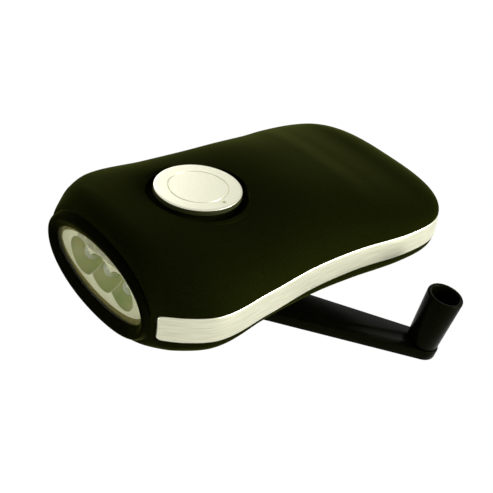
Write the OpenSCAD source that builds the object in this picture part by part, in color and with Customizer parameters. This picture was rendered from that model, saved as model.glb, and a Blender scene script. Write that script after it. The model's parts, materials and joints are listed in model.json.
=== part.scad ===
// Wind-up LED torch: a pebble-shaped body, an oval three-LED head and a folding crank underneath.
// Places inside the modules are measured from the belt line: z = 0 is the parting line of the two shells,
// x = 0 the middle plane and y = 0 the middle of the body, with the lens towards -y.

/* [Body] */
// Front edge of the shells ahead of the body's middle
nose_y = 45.6; // [44.5:0.1:47]
// Rear end of the shells behind the body's middle
tail_y = 52.9; // [51.5:0.1:55]
// Half-width at the front edge
nose_w = 24.3; // [23:0.1:25.5]
// Half-width at the shoulders
shoulder_w = 31.8; // [30:0.1:34]
// Half-width at the waist
waist_w = 28.5; // [27.5:0.1:30]
// Half-width at the hips
hip_w = 30.3; // [29:0.1:32]
// Crown height above the belt at the nose
nose_crown = 15; // [14.4:0.1:15.6]
// Crown height above the belt from the button to the waist
back_crown = 12.8; // [12.4:0.1:13.4]
// Crown height above the belt at the foot of the tail
tail_crown = 5; // [4.6:0.1:5.6]
// Belly depth below the trim at the chin
chin_depth = 9.2; // [8.6:0.1:10]
// Belly depth below the trim at the waist
waist_depth = 6.6; // [6.3:0.1:7]
// Belly depth below the trim at the heel
heel_depth = 9.4; // [8.6:0.1:10]
// Wall of both shells
wall = 1.8; // [1.5:0.1:2]

/* [Trim] */
// Height of the trim strip at its front end
trim_front_h = 7.8; // [7:0.1:8.4]
// Height of the trim strip at the tail
trim_tail_h = 6.2; // [5.8:0.1:6.8]
// Thickness of the trim strip
trim_t = 1.2; // [1:0.1:1.4]
// Front end of the trim strip ahead of the body's middle
trim_front_y = 44.3; // [43.6:0.1:44.4]

/* [Head] */
// Half-width of the bezel
bezel_w = 22.7; // [22:0.1:23.4]
// Half-height of the bezel
bezel_h = 13.7; // [13.2:0.1:14.2]
// Height of the bezel's middle against the belt
head_z = -1.8; // [-2.2:0.1:-1.4]
// Half-width of the lens opening
opening_w = 19.8; // [19.3:0.1:20.2]
// Half-height of the lens opening
opening_h = 9.4; // [9:0.1:9.8]
// How far the bezel stands out in front of the shells
bezel_out = 3.1; // [2.8:0.1:3.4]
// Forward lean of the head
head_lean = 3.9; // [2:0.1:5]
// Thickness of the lens
lens_t = 0.8; // [0.6:0.1:1]
// Spacing of the LEDs
led_pitch = 9; // [8.6:0.1:9.6]
// Mouth radius of a reflector cup
cup_r = 5.3; // [5:0.1:5.6]
// Depth of a reflector cup
cup_depth = 6.5; // [5.5:0.1:7]

/* [Button] */
// Radius of the push button
button_r = 11.5; // [10.8:0.1:12]
// Middle of the button ahead of the body's middle
button_y = 17.5; // [16.5:0.1:18.5]
// Height of the button's top above the belt
button_z = 14.4; // [14.2:0.1:15]
// Rearward tilt of the button's face
button_tilt = 3; // [0:0.5:4]
// Travel of the button
button_travel = 0.6; // [0.4:0.1:0.6]

/* [Crank] */
// Crank axis ahead of the body's middle
crank_y = 13; // [12.5:0.1:14]
// Crank axis to knob axis
crank_length = 62.7; // [61:0.1:64]
// Turn of the arm from the body's side towards the tail
crank_turn = 50; // [46:1:54]
// Droop of the arm below flat
arm_droop = 13.8; // [12:0.1:16]
// Thickness of the arm
arm_t = 2.9; // [2.7:0.1:3.1]
// Width of the arm at the hinge
arm_root_w = 14.9; // [14:0.1:16]
// Width of the arm at the knob
arm_tip_w = 9.9; // [9.6:0.1:10.6]
// Length of the knob
knob_l = 16.9; // [16:0.1:17.2]
// Knob radius at its foot
knob_foot_r = 4.6; // [4.4:0.1:4.75]
// Knob radius at its mouth
knob_mouth_r = 5.2; // [5:0.1:5.4]
// Radius of the knob's bore
knob_bore_r = 4; // [3.7:0.1:4.1]
// Hinge pin radius
hinge_pin_r = 0.8; // [0.7:0.05:0.9]

/* [Gears] */
// Tooth module
gear_module = 0.5; // [0.48:0.01:0.51]
// Teeth of the crank gear
crank_teeth = 60; // [58:1:60]
// Teeth of the two pinions on the layshafts
pinion_teeth = 12; // [12:1:13]
// Teeth of the second wheel
second_teeth = 48; // [46:1:48]
// Teeth of the third wheel
third_teeth = 40; // [38:1:40]
// Teeth of the rotor's pinion
rotor_teeth = 10; // [10:1:11]
// Radius of the stator
stator_r = 9; // [8.6:0.1:9.1]

/* [Fits] */
// Radial clearance of a running fit
run_fit = 0.03; // [0.02:0.01:0.06]
// Gap between pieces that sit side by side
side_gap = 0.1; // [0.05:0.05:0.15]

/* [Hidden] */
$fn = 48;

// The flat under the chin, which is the part's origin
chin_rest = [0, -40.5, -17.4];
chin_pad_w = 16;
chin_pad_l = 6;
chin_pad_h = 2.6;

// Outline of the belt: half-width against y, and the round tail behind the hips
roll_y = 40.5;
hip_y = 32.4;
tail_power = 2.98;
chest_w = shoulder_w - 1.2;
half_width = [
    [-nose_y, nose_w], [-33.1, shoulder_w], [-16.6, chest_w], [0, waist_w], [15.6, waist_w], [hip_y, hip_w]
];
// Height of the spine, the line where both halves of the back meet
crown_knots = [
    [-45.1, nose_crown], [-18.4, back_crown], [4.6, back_crown],
    [22.1, mix(tail_crown, back_crown, 0.58)], [38.6, tail_crown]
];
crown_power = 2.5;
foot_start = 9.2;
foot_length = 36.8;
// Depth and fullness of the belly along the keel
depth_knots = [
    [-nose_y, chin_depth - 1], [-33, chin_depth], [-13, (chin_depth + waist_depth) / 2],
    [2, waist_depth], [14, waist_depth + 0.6], [27, heel_depth]
];
fullness_knots = [[-nose_y, 2.3], [-33, 2.2], [-13, 2], [2, 2.8], [14, 2.9], [27, 2.2]];
bezel_power = 2.2;
lip = 0.3;
nose_lap = 0.2;
nose_thin = 0.5;
trim_seat = trim_t + side_gap;
trim_corner = 1.2;

function mix(a, b, t) = a + (b - a) * t;
function unit(v) = v / norm(v);
function rise(k, i) = (k[i + 1][1] - k[i][1]) / (k[i + 1][0] - k[i][0]);
function knot_slope(k, i) =
    i == 0 ? rise(k, 0) :
    i == len(k) - 1 ? 0 : (k[i + 1][1] - k[i - 1][1]) / (k[i + 1][0] - k[i - 1][0]);
function span(k, x, i = 0) = i >= len(k) - 2 || x <= k[i + 1][0] ? i : span(k, x, i + 1);
// Smooth curve through the knots, level at the last one
function curve(k, x) =
    let (i = span(k, x), l = k[i + 1][0] - k[i][0], t = (min(x, k[len(k) - 1][0]) - k[i][0]) / l)
    let (a = k[i][1], b = k[i + 1][1], p = knot_slope(k, i) * l, q = knot_slope(k, i + 1) * l)
    (2 * t^3 - 3 * t^2 + 1) * a + (t^3 - 2 * t^2 + t) * p + (3 * t^2 - 2 * t^3) * b + (t^3 - t^2) * q;
function power_cos(a, power) = sign(cos(a)) * abs(cos(a))^(2 / power);
function power_sin(a, power) = sign(sin(a)) * abs(sin(a))^(2 / power);

// Stations along the outline, from the nose round to the middle of the tail
side_steps = 16;
tail_steps = 8;
function side_at(y) = [curve(half_width, y), y];
function tail_at(a) =
    [hip_w * abs(cos(a))^(2 / tail_power), hip_y + (tail_y - hip_y) * sin(a)^(2 / tail_power)];
stations = concat(
    [for (y = [nose_y, mix(nose_y, trim_front_y, 0.2), mix(nose_y, trim_front_y, 0.6),
        trim_front_y + side_gap, each [for (a = [30, 60, 90]) trim_front_y - trim_corner * (1 - cos(a))],
        mix(trim_front_y - trim_corner, roll_y, 0.5)]) side_at(-y)],
    [for (i = [0 : side_steps]) side_at(mix(-roll_y, hip_y, i / side_steps))],
    [for (i = [1 : tail_steps - 1]) tail_at(90 * i / tail_steps)],
    [[0, tail_y]]
);
last = len(stations) - 1;
function inward(a, b) = let (d = unit(b - a)) [-d[1], d[0]];
function outline(i, inset) =
    i == last ? [0, tail_y - inset] :
    stations[i] + inward(stations[max(i - 1, 0)], stations[i + 1]) * inset;
function foot(y) = y < foot_start ? y : foot_start + foot_length * (1 - exp((foot_start - y) / foot_length));
function trim_h(y) = mix(trim_front_h, trim_tail_h, (y + nose_y) / (tail_y + nose_y));
// The shells roll in to the head's oval over the last stretch of the nose
function roll(y) = let (t = min(1, max(0, (-y - roll_y) / (nose_y - roll_y)))) 1 - sqrt(1 - t * t);
function nose_point(a, y, grow) =
    let (z = (bezel_h + grow) * power_sin(a, bezel_power))
    [(bezel_w + grow) * power_cos(a, bezel_power), y - z * tan(head_lean), head_z + z];
function nose_angle(z) = asin(sign(z - head_z) * min(1, abs(z - head_z) / bezel_h)^(bezel_power / 2));
function level(p, z) = [p[0], p[1], z];
// Height of the back and of the belly over a point of the plan
function crown_at(p) =
    curve(crown_knots, foot(p[1])) * (1 - (abs(p[0]) / curve(half_width, p[1]))^crown_power)^(1 / crown_power);
function belly_at(p) =
    let (f = curve(fullness_knots, foot(p[1])), w = curve(half_width, p[1]) - lip)
    -trim_h(p[1]) - curve(depth_knots, foot(p[1])) * (1 - (abs(p[0]) / w)^f)^(1 / f);

// Half a rib of the upper shell, from the belt to the spine
upper_steps = 10;
function upper_rib(i, inset) = [
    for (j = [0 : upper_steps])
        let (a = 90 * j / upper_steps, p = outline(i, inset), y = stations[i][1], foot_y = foot(y))
        let (c = power_cos(a, crown_power), s = power_sin(a, crown_power))
        let (body = [p[0] * c, foot_y + (p[1] - foot_y) * c, (curve(crown_knots, foot_y) - inset) * s])
        let (nose = nose_point(mix(nose_angle(0), 90, j / upper_steps), y, nose_lap - inset * nose_thin))
        let (q = mix(body, nose, roll(y)))
        j == 0 ? level(q, 0) : q
];

// Half a rib of the lower shell: down behind the trim, out to the lip and along the belly
belly_steps = 9;
function seat(y) = y < -trim_front_y - 0.5 * side_gap - 0.2 ? lip : trim_seat;
function lower_rib(i, inset) =
    let (y = stations[i][1], t = trim_h(y), foot_y = foot(y), w = roll(y))
    let (back = outline(i, seat(y) + inset), front = inset > 0 ? back : outline(i, lip))
    let (depth = curve(depth_knots, foot_y) - inset, power = curve(fullness_knots, foot_y))
    let (grow = nose_lap - inset * nose_thin, edge = nose_angle(-t), step = inset > 0 ? 0.5 : 1)
    concat(
        [level(mix(level(back, 0), nose_point(nose_angle(0), y, grow - seat(y)), w), 0)],
        [mix(level(back, -t * step), nose_point(edge * step, y, grow - seat(y)), w)],
        [for (j = [0 : belly_steps])
            let (a = 90 * j / belly_steps, c = power_cos(a, power), s = power_sin(a, power))
            let (body = [front[0] * c, foot_y + (front[1] - foot_y) * c, -t - depth * s])
            mix(body, nose_point(mix(edge, -90, j / belly_steps), y, grow), w)]
    );

// Ribs are mirrored about the middle plane. The last one lies in that plane, so both halves share it.
function quad(a, b, c, d) = [[a, b, c], [a, c, d]];
function full_rib(half) =
    concat(half, [for (j = [len(half) - 2 : -1 : 0]) [-half[j][0], half[j][1], half[j][2]]]);
function rib_points(ribs) = concat([for (i = [0 : last - 1]) each full_rib(ribs[i])], ribs[last]);
function rib_index(m, i, j) =
    i < last ? i * (2 * m + 1) + j : last * (2 * m + 1) + (j <= m ? j : 2 * m - j);
function rib_faces(m) = [
    for (i = [0 : last - 1], j = [0 : 2 * m - 1])
        each quad(rib_index(m, i, j), rib_index(m, i, j + 1),
            rib_index(m, i + 1, j + 1), rib_index(m, i + 1, j))
];
function turned(faces) = [for (f = faces) [f[0], f[2], f[1]]];
// A wall between two sets of ribs, open along the belt and at the nose
module skin(outer, inner, above) {
    m = len(outer[0]) - 1;
    points = concat(rib_points(outer), rib_points(inner));
    step = len(rib_points(outer));
    rim = [
        for (i = [0 : last - 1], j = [0, 2 * m])
            let (a = rib_index(m, i, j), b = rib_index(m, i + 1, j))
            each j == 0 ? quad(a, b, b + step, a + step) : quad(a, a + step, b + step, b)
    ];
    nose = [
        for (j = [0 : 2 * m - 1])
            let (a = rib_index(m, 0, j), b = rib_index(m, 0, j + 1)) each quad(a, a + step, b + step, b)
    ];
    inside = [for (f = turned(rib_faces(m))) f + [step, step, step]];
    faces = concat(rib_faces(m), inside, rim, nose);
    polyhedron(points, above ? faces : turned(faces), convexity = 8);
}
// The same outer form, filled up to the belt
module filled(outer, above) {
    m = len(outer[0]) - 1;
    belt = concat([for (i = [0 : last]) rib_index(m, i, 0)],
        [for (i = [last - 1 : -1 : 0]) rib_index(m, i, 2 * m)]);
    front = [for (j = [0 : 2 * m]) rib_index(m, 0, j)];
    lid = [for (i = [1 : len(belt) - 2]) [belt[0], belt[i], belt[i + 1]]];
    face = [for (j = [1 : len(front) - 2]) [front[0], front[j + 1], front[j]]];
    faces = concat(rib_faces(m), lid, face);
    polyhedron(rib_points(outer), above ? faces : turned(faces), convexity = 8);
}

// Everything stands on the chin rest
module at_belt() { translate(-chin_rest) children(); }
module at_button() { at_belt() translate([0, -button_y, button_z]) rotate([-button_tilt, 0, 0]) children(); }
// The head's own frame: x across, y up and z out of the lens, with z = 0 at the front edge of the shells
module at_head() { at_belt() translate([0, -nose_y, head_z]) rotate([90 + head_lean, 0, 0]) children(); }
module at_crank() { at_belt() translate([crank_at[0], crank_at[1], 0]) children(); }
// The arm's own frame: x along the arm from the hinge, z out of its upper face
module at_arm() {
    at_crank() rotate([0, 0, crank_turn]) translate([hinge_out, 0, hinge_z])
        rotate([0, arm_droop, 0]) children();
}
module at_spot(p, z = 0) { at_belt() translate([p[0], p[1], z]) children(); }
module tube(r, bore, h) {
    difference() {
        cylinder(r = r, h = h);
        translate([0, 0, -1]) cylinder(r = bore, h = h + 2);
    }
}
module pan_screw(head_r, head_h, shank_r, length) {
    cylinder(r = head_r, h = head_h);
    translate([0, 0, -length]) cylinder(r = shank_r, h = length + head_h / 2);
}
module rounded_plate(x0, x1, y0, y1, r, h) {
    translate([x0 + r, y0, 0]) cube([x1 - x0 - 2 * r, y1 - y0, h]);
    translate([x0, y0 + r, 0]) cube([x1 - x0, y1 - y0 - 2 * r, h]);
    for (x = [x0 + r, x1 - r], y = [y0 + r, y1 - r]) translate([x, y, 0]) cylinder(r = r, h = h);
}

// Levels below the top face of the button
moat_r = button_r * 1.17;
moat_wall = 1.4;
moat_floor = 3;
moat_t = 1.5;
cap_t = moat_floor - button_travel - 0.1;
cap_edge = 0.5;
ring_r = button_r * 0.68;
ring_w = 0.5;
mark_depth = 0.25;
stem_r = 3;
stem_l = 5.9;
clip_r = 4.6;
clip_t = 0.6;
clip_groove = 0.5;
board_top = 8.9;
board_t = 1.2;
board_w = 30;
board_l = 24;
board_posts = [[-12, -9], [12, -9], [-12, 9], [12, 9]];
board_post_r = 1.9;
board_screw_r = 0.7;
board_screw_head_r = 1.5;
board_screw_head_h = 0.8;
board_screw_bite = 2.6;
switch_w = 6;
switch_h = 2.4;
plunger_r = 1.7;

// Levels of the crank and of the gear train
arm_top_z = -18.2;
hinge_out = 7;
hinge_z = arm_top_z - arm_t / 2;
cheek_t = 2.4;
cheek_r = 2;
tongue_w = arm_root_w - 2 * cheek_t - 0.4;
tongue_l = cheek_r + 1;
hub_disc_r = 11;
hub_disc_t = 1.8;
hub_play = 0.2;
hub_disc_z = arm_top_z + hub_play;
boss_z = hub_disc_z + hub_disc_t + hub_play;
boss_r = hub_disc_r + 0.8;
boss_h = 3.2;
bush_r = 5;
bush_l = 5;
crank_shaft_r = 3.5;
crank_spigot_r = 2.5;
hub_screw_r = 1.2;
hub_screw_l = 8;
hub_screw_head_r = 3.2;
hub_screw_head_h = 1.2;
deck_t = 1.4;
deck_z = -7.6;
deck_gap = 8.7;
roof_z = deck_z + deck_gap;
// The deck is as wide as the row of three cells that stands on it
cell_r = 6.25;
cell_pitch = 2 * cell_r + 0.9;
cradle_wall = 0.4;
deck_w = cell_pitch + cell_r + cradle_wall;
deck_front = -25.5;
// Each gear's foot and thickness above the deck
crank_gear_z = 0.5;
crank_gear_t = 3;
pinion_z = 0.3;
second_wheel_z = 4;
wheel_t = 1.8;
third_wheel_z = second_wheel_z + wheel_t + 0.4;
third_pinion_z = second_wheel_z - 0.2;
rotor_pinion_z = third_wheel_z - 0.2;
wheel_hub_r = 2.2;
gear_pin_r = 1;
function mesh(a, b) = gear_module * (a + b) / 2;
function heading(a) = [cos(a), sin(a)];
// Turn of a gear whose teeth mesh with a gear that lies the other way along the heading
function mate_turn(towards, turn, teeth, mate) =
    towards + 180 - 360 / mate * (0.5 - (towards - turn) * teeth / 360);
second_heading = 60;
third_heading = 130;
rotor_heading = 80;
crank_at = [0, -crank_y];
second_at = crank_at + mesh(crank_teeth, pinion_teeth) * heading(second_heading);
third_at = second_at + mesh(second_teeth, pinion_teeth) * heading(third_heading);
rotor_at = third_at + mesh(third_teeth, rotor_teeth) * heading(rotor_heading);
second_turn = mate_turn(second_heading, 0, crank_teeth, pinion_teeth);
third_turn = mate_turn(third_heading, second_turn, second_teeth, pinion_teeth);
rotor_turn = mate_turn(rotor_heading, third_turn, third_teeth, rotor_teeth);
deck_rear = third_at[1] + gear_pin_r + 1.8;
pillar_r = 2.2;
pillar_x = deck_w - pillar_r;
pillar_edge = 0.4;
pillars = [
    [pillar_edge - pillar_x, deck_front + 4], [pillar_x - pillar_edge, deck_front + 4],
    [2 * pillar_edge - pillar_x, 12], [pillar_x, deck_rear - pillar_r]
];
post_r = 2.4;
plate_screw_r = 0.9;
plate_screw_head_r = 1.8;
plate_screw_head_h = 1;
plate_screw_l = deck_gap + 2 * deck_t + 1.6;
// The dynamo behind the deck
stator_z = -11.5;
stator_base_t = 1;
stator_h = 5.6;
stator_rim = 0.8;
stator_bore = 6.4;
rotor_r = 5.9;
rotor_shaft_r = 0.8;
stator_posts = [for (a = [30, 150, 270]) rotor_at + 6.5 * heading(a)];
// Cells on the roof plate
cell_h = 4.6;
cell_y = 2.4;
cradle_floor = 0.8;
cradle_h = 3;
cell_z = roof_z + deck_t + cradle_floor;
// Screws that hold the shells together
screws = [[-20.5, -31.5], [20.5, -31.5], [-17.5, 24], [17.5, 24]];
screw_boss_r = 3;
screw_r = 1.1;
screw_head_r = 2;
screw_head_h = 1.4;
screw_seat_z = -5;
screw_bite = 3.6;
// The stowed knob's notch in the tail
notch_r = knob_mouth_r + 0.7;
notch_at = crank_at + [0, crank_length];
notch_top = arm_top_z + knob_l + 0.5;
notch_wall = 1.2;
knob_gap = 0.35;
knob_floor = 2.2;
knob_screw_r = 1.6;
knob_screw_head_r = 3;
knob_screw_head_h = 1.4;
knob_at = crank_length - hinge_out;

black = [0.07, 0.075, 0.06];
gloss_black = [0.04, 0.042, 0.035];
satin = [0.8, 0.79, 0.74];
chrome = [0.85, 0.86, 0.84];
steel = [0.7, 0.71, 0.72];
board_green = [0.1, 0.35, 0.2];
gear_white = [0.9, 0.89, 0.84];

module upper_shell() {
    ribs = [for (i = [0 : last]) upper_rib(i, 0)];
    color(black) difference() {
        union() {
            at_belt() skin(ribs, [for (i = [0 : last]) upper_rib(i, wall)], true);
            at_button() translate([0, 0, -moat_floor - moat_t])
                cylinder(r = moat_r + moat_wall, h = moat_t + 1);
            at_button() for (p = board_posts) translate([p[0], p[1], -board_top])
                cylinder(r = board_post_r, h = board_top - moat_floor - 0.5);
            for (p = screws) at_spot(p) cylinder(r = screw_boss_r, h = crown_at(p) - wall);
        }
        at_button() translate([0, 0, -moat_floor]) cylinder(r = moat_r, h = 10);
        at_button() translate([0, 0, -moat_floor - moat_t - 1]) cylinder(r = stem_r + run_fit, h = moat_t + 2);
        at_button() for (p = board_posts) translate([p[0], p[1], -board_top - 1])
            cylinder(r = board_screw_r, h = 4);
        for (p = screws) at_spot(p, -1) cylinder(r = screw_r, h = screw_bite + 1.4);
    }
}

module lower_shell() {
    ribs = [for (i = [0 : last]) lower_rib(i, 0)];
    color(black) difference() {
        union() {
            at_belt() skin(ribs, [for (i = [0 : last]) lower_rib(i, wall)], false);
            at_spot(crank_at, boss_z) cylinder(r = boss_r, h = boss_h);
            rounded_plate(-chin_pad_w / 2, chin_pad_w / 2, -chin_pad_l / 2, chin_pad_l / 2,
                chin_pad_l * 0.45, chin_pad_h);
            for (p = screws) at_spot(p, belly_at(p) + wall / 2)
                cylinder(r = screw_boss_r, h = -belly_at(p) - wall / 2);
            for (p = pillars) at_spot(p, belly_at(p) + wall / 2)
                cylinder(r = post_r, h = deck_z - deck_t - belly_at(p) - wall / 2);
            for (p = stator_posts) at_spot(p, belly_at(p) + wall / 2)
                cylinder(r = 1.6, h = stator_z - belly_at(p) - wall / 2);
            at_belt() intersection() {
                filled(ribs, false);
                translate([notch_at[0], notch_at[1], -trim_tail_h - heel_depth])
                    cylinder(r = notch_r + notch_wall, h = trim_tail_h + heel_depth);
            }
        }
        at_spot(crank_at, boss_z - 6) cylinder(r = boss_r, h = 6);
        at_spot(crank_at, boss_z - 1) cylinder(r = bush_r, h = boss_h + 4);
        for (p = screws) {
            at_spot(p, screw_seat_z - 20) cylinder(r = screw_head_r + side_gap, h = 20);
            at_spot(p, screw_seat_z - 1) cylinder(r = screw_r + side_gap, h = 20);
        }
        for (p = pillars) at_spot(p, roof_z + deck_t - plate_screw_l) cylinder(r = plate_screw_r, h = 10);
        at_spot(notch_at, notch_top - 30) cylinder(r = notch_r, h = 30);
    }
}

// Stations of a trim strip: plan place and how much the round front corners take off its height
trim_path = concat(
    [for (a = [0, 30, 60]) let (y = -trim_front_y + trim_corner * (1 - cos(a)))
        [each side_at(y), trim_corner * (1 - sin(a))]],
    [for (i = [0 : last - 1]) if (stations[i][1] > -trim_front_y + trim_corner - 0.01) [each stations[i], 0]],
    [[each tail_at(acos(((notch_r + 1) / hip_w)^(tail_power / 2))), 0]]
);
function flat2(p) = [p[0], p[1]];
function trim_section(i) =
    let (n = len(trim_path) - 1, p = trim_path[i], y = p[1], cut = p[2])
    let (foot_z = cut - trim_h(y) + side_gap / 2)
    let (in = inward(flat2(trim_path[max(i - 1, 0)]), flat2(trim_path[min(i + 1, n)])))
    [for (q = [
        [0.5, -cut], [0, -cut - 0.5], [0, foot_z + 0.4], [lip, foot_z], [trim_t, foot_z], [trim_t, -cut]])
        mix([p[0] + in[0] * q[0], y + in[1] * q[0], q[1]],
            nose_point(nose_angle(q[1]), y, nose_lap - q[0]), roll(y))];
module trim_strip() {
    n = len(trim_path);
    sections = [for (i = [0 : n - 1]) trim_section(i)];
    m = len(sections[0]);
    ends = [for (k = [1 : m - 2]) each [[0, k, k + 1], [(n - 1) * m, (n - 1) * m + k + 1, (n - 1) * m + k]]];
    sides = [for (i = [0 : n - 2], k = [0 : m - 1]) let (a = i * m, b = a + m, l = (k + 1) % m)
        each quad(a + k, b + k, b + l, a + l)];
    polyhedron([for (s = sections) each s], concat(sides, ends), convexity = 6);
}
module trim_left() { color(satin) at_belt() trim_strip(); }
module trim_right() { color(satin) at_belt() mirror([1, 0, 0]) trim_strip(); }

module shell_screws() {
    color(steel) for (p = screws) at_spot(p, screw_seat_z) rotate([180, 0, 0])
        pan_screw(screw_head_r, screw_head_h, screw_r, screw_bite - screw_seat_z);
}

// Ovals between the bezel's girth at 0 and the lens opening at 1
oval_steps = 56;
function oval(f) = [
    for (i = [0 : oval_steps - 1]) let (a = 360 * i / oval_steps, e = mix(bezel_power, 2, f))
        [mix(bezel_w, opening_w, f) * power_cos(a, e), mix(bezel_h, opening_h, f) * power_sin(a, e)]
];
lip_z = bezel_out - 1.6;
spigot_l = 4;
spigot_f = 0.5;
pocket_f = 0.7;
fill_f = 0.74;
bezel_profile = [
    [0.12, 0], [0, 0.3 * bezel_out], [0.03, 0.55 * bezel_out], [0.1, 0.77 * bezel_out], [0.2, 0.93 * bezel_out],
    [0.33, bezel_out], [0.48, 0.97 * bezel_out], [0.65, 0.86 * bezel_out], [0.82, 0.73 * bezel_out],
    [0.94, 0.64 * bezel_out], [1, lip_z + 0.3], [1, lip_z],
    [pocket_f, lip_z], [pocket_f, -spigot_l], [spigot_f, -spigot_l], [spigot_f, 0]
];
module front_bezel() {
    n = len(bezel_profile);
    points = [for (q = bezel_profile) each [for (p = oval(q[0])) [p[0], p[1], q[1]]]];
    faces = [for (k = [0 : n - 1], i = [0 : oval_steps - 1])
        let (l = (k + 1) % n * oval_steps, j = (i + 1) % oval_steps)
        each quad(k * oval_steps + i, l + i, l + j, k * oval_steps + j)];
    color(gloss_black) at_head() polyhedron(points, faces, convexity = 6);
}
module lens() {
    color([0.85, 0.9, 0.88, 0.5]) at_head() translate([0, 0, lip_z - lens_t])
        linear_extrude(lens_t) polygon(oval(fill_f));
}

// The reflector lies against the lens, and its cups open towards it
reflector_front = lip_z - lens_t;
flange_t = 1.2;
cup_wall = 0.8;
led_r = 2.5;
led_flange_r = 2.9;
led_flange_t = 1;
led_h = 8.6;
led_hole_r = led_r + side_gap;
led_foot = reflector_front - cup_depth - 3.2;
led_places = [-led_pitch, 0, led_pitch];
led_board_t = 1.2;
led_board_w = 2 * led_pitch + 15.4;
led_board_h = 9;
led_post_x = led_board_w / 2 - 1.7;
led_post_r = 1.3;
// A bowl turned from the square root of the depth, so that it is steep at the mouth and round below
cup_steps = 6;
function cup_curve(r, foot_r, depth) = [
    for (i = [0 : cup_steps]) let (t = i / cup_steps) [mix(foot_r, r, t), -depth * (1 - t * t)]
];
module cup_space() {
    rotate_extrude() polygon(concat(
        [[0, -cup_depth]], cup_curve(cup_r, led_hole_r, cup_depth), [[cup_r, 1], [0, 1]]));
}
module reflector() {
    color(chrome) at_head() translate([0, 0, reflector_front]) difference() {
        union() {
            translate([0, 0, -flange_t]) linear_extrude(flange_t) polygon(oval(fill_f));
            for (x = led_places) translate([x, 0, -cup_depth - cup_wall])
                cylinder(r1 = led_hole_r + cup_wall + 0.6, r2 = cup_r + cup_wall,
                    h = cup_depth + cup_wall - 0.2);
            for (x = [-led_post_x, led_post_x]) translate([x, 0, led_foot - reflector_front])
                cylinder(r = led_post_r, h = reflector_front - led_foot - 0.6);
        }
        for (x = led_places) translate([x, 0, 0]) {
            cup_space();
            translate([0, 0, -cup_depth - 5]) cylinder(r = led_hole_r, h = 6);
        }
    }
}
module led(x) {
    color([0.92, 0.93, 0.9]) at_head() translate([x, 0, led_foot]) {
        cylinder(r = led_flange_r, h = led_flange_t);
        cylinder(r = led_r, h = led_h - led_r);
        translate([0, 0, led_h - led_r]) sphere(r = led_r);
    }
}
module led_left() { led(led_places[2]); }
module led_centre() { led(led_places[1]); }
module led_right() { led(led_places[0]); }
module led_board() {
    color(board_green) at_head() translate([-led_board_w / 2, -led_board_h / 2, led_foot - led_board_t])
        cube([led_board_w, led_board_h, led_board_t]);
}

module push_button() {
    color(satin) at_button() difference() {
        union() {
            rotate_extrude() polygon([
                [0, -cap_t], [button_r, -cap_t], [button_r, -cap_edge],
                [button_r - cap_edge / 4, -cap_edge / 4], [button_r - cap_edge, 0], [0, 0]
            ]);
            translate([0, 0, -stem_l]) cylinder(r = stem_r, h = stem_l - 1);
        }
        translate([0, 0, -mark_depth]) tube(ring_r + ring_w / 2, ring_r - ring_w / 2, 1);
        translate([0, 0, -moat_floor - moat_t - clip_t - 0.1]) tube(stem_r + 1, stem_r - clip_groove, clip_t);
    }
}
module button_clip() {
    color(steel) at_button() translate([0, 0, -moat_floor - moat_t - clip_t - 0.1])
        tube(clip_r, stem_r - clip_groove, clip_t);
}
module switch_plunger() {
    color(black) at_button() translate([0, 0, -board_top + switch_h - button_travel])
        cylinder(r = plunger_r, h = board_top - stem_l - switch_h + button_travel);
}
module power_switch() {
    color(steel) at_button() translate([0, 0, -board_top]) difference() {
        translate([-switch_w / 2, -switch_w / 2, 0]) cube([switch_w, switch_w, switch_h]);
        translate([0, 0, switch_h - 2 * button_travel - 0.1])
            cylinder(r = plunger_r + run_fit, h = switch_h);
    }
}
module main_board() {
    color(board_green) at_button() translate([0, 0, -board_top - board_t]) difference() {
        translate([-board_w / 2, -board_l / 2, 0]) cube([board_w, board_l, board_t]);
        for (p = board_posts) translate([p[0], p[1], -1])
            cylinder(r = board_screw_r + side_gap, h = board_t + 2);
    }
}
module board_screws() {
    color(steel) at_button() for (p = board_posts)
        translate([p[0], p[1], -board_top - board_t]) rotate([180, 0, 0])
            pan_screw(board_screw_head_r, board_screw_head_h, board_screw_r, board_t + board_screw_bite);
}
module rectifier() {
    color([0.1, 0.1, 0.1]) at_button() translate([6, -2.5, -board_top]) cube([4, 5, 1.6]);
}
module capacitor() {
    color([0.12, 0.16, 0.35]) at_button() translate([-8, -4, -board_top + 1.9])
        rotate([-90, 0, 0]) cylinder(r = 1.9, h = 8);
}
module battery_cells() {
    color([0.3, 0.55, 0.35]) for (k = [-1, 0, 1]) at_spot([k * cell_pitch, cell_y], cell_z)
        cylinder(r = cell_r, h = cell_h);
}
module battery_cradle() {
    color(gear_white) at_spot([0, cell_y], cell_z - cradle_floor) difference() {
        for (k = [-1, 0, 1]) translate([k * cell_pitch, 0, 0])
            cylinder(r = cell_r + side_gap + cradle_wall, h = cradle_floor + cradle_h);
        for (k = [-1, 0, 1]) translate([k * cell_pitch, 0, cradle_floor])
            cylinder(r = cell_r + side_gap, h = 10);
    }
}

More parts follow.
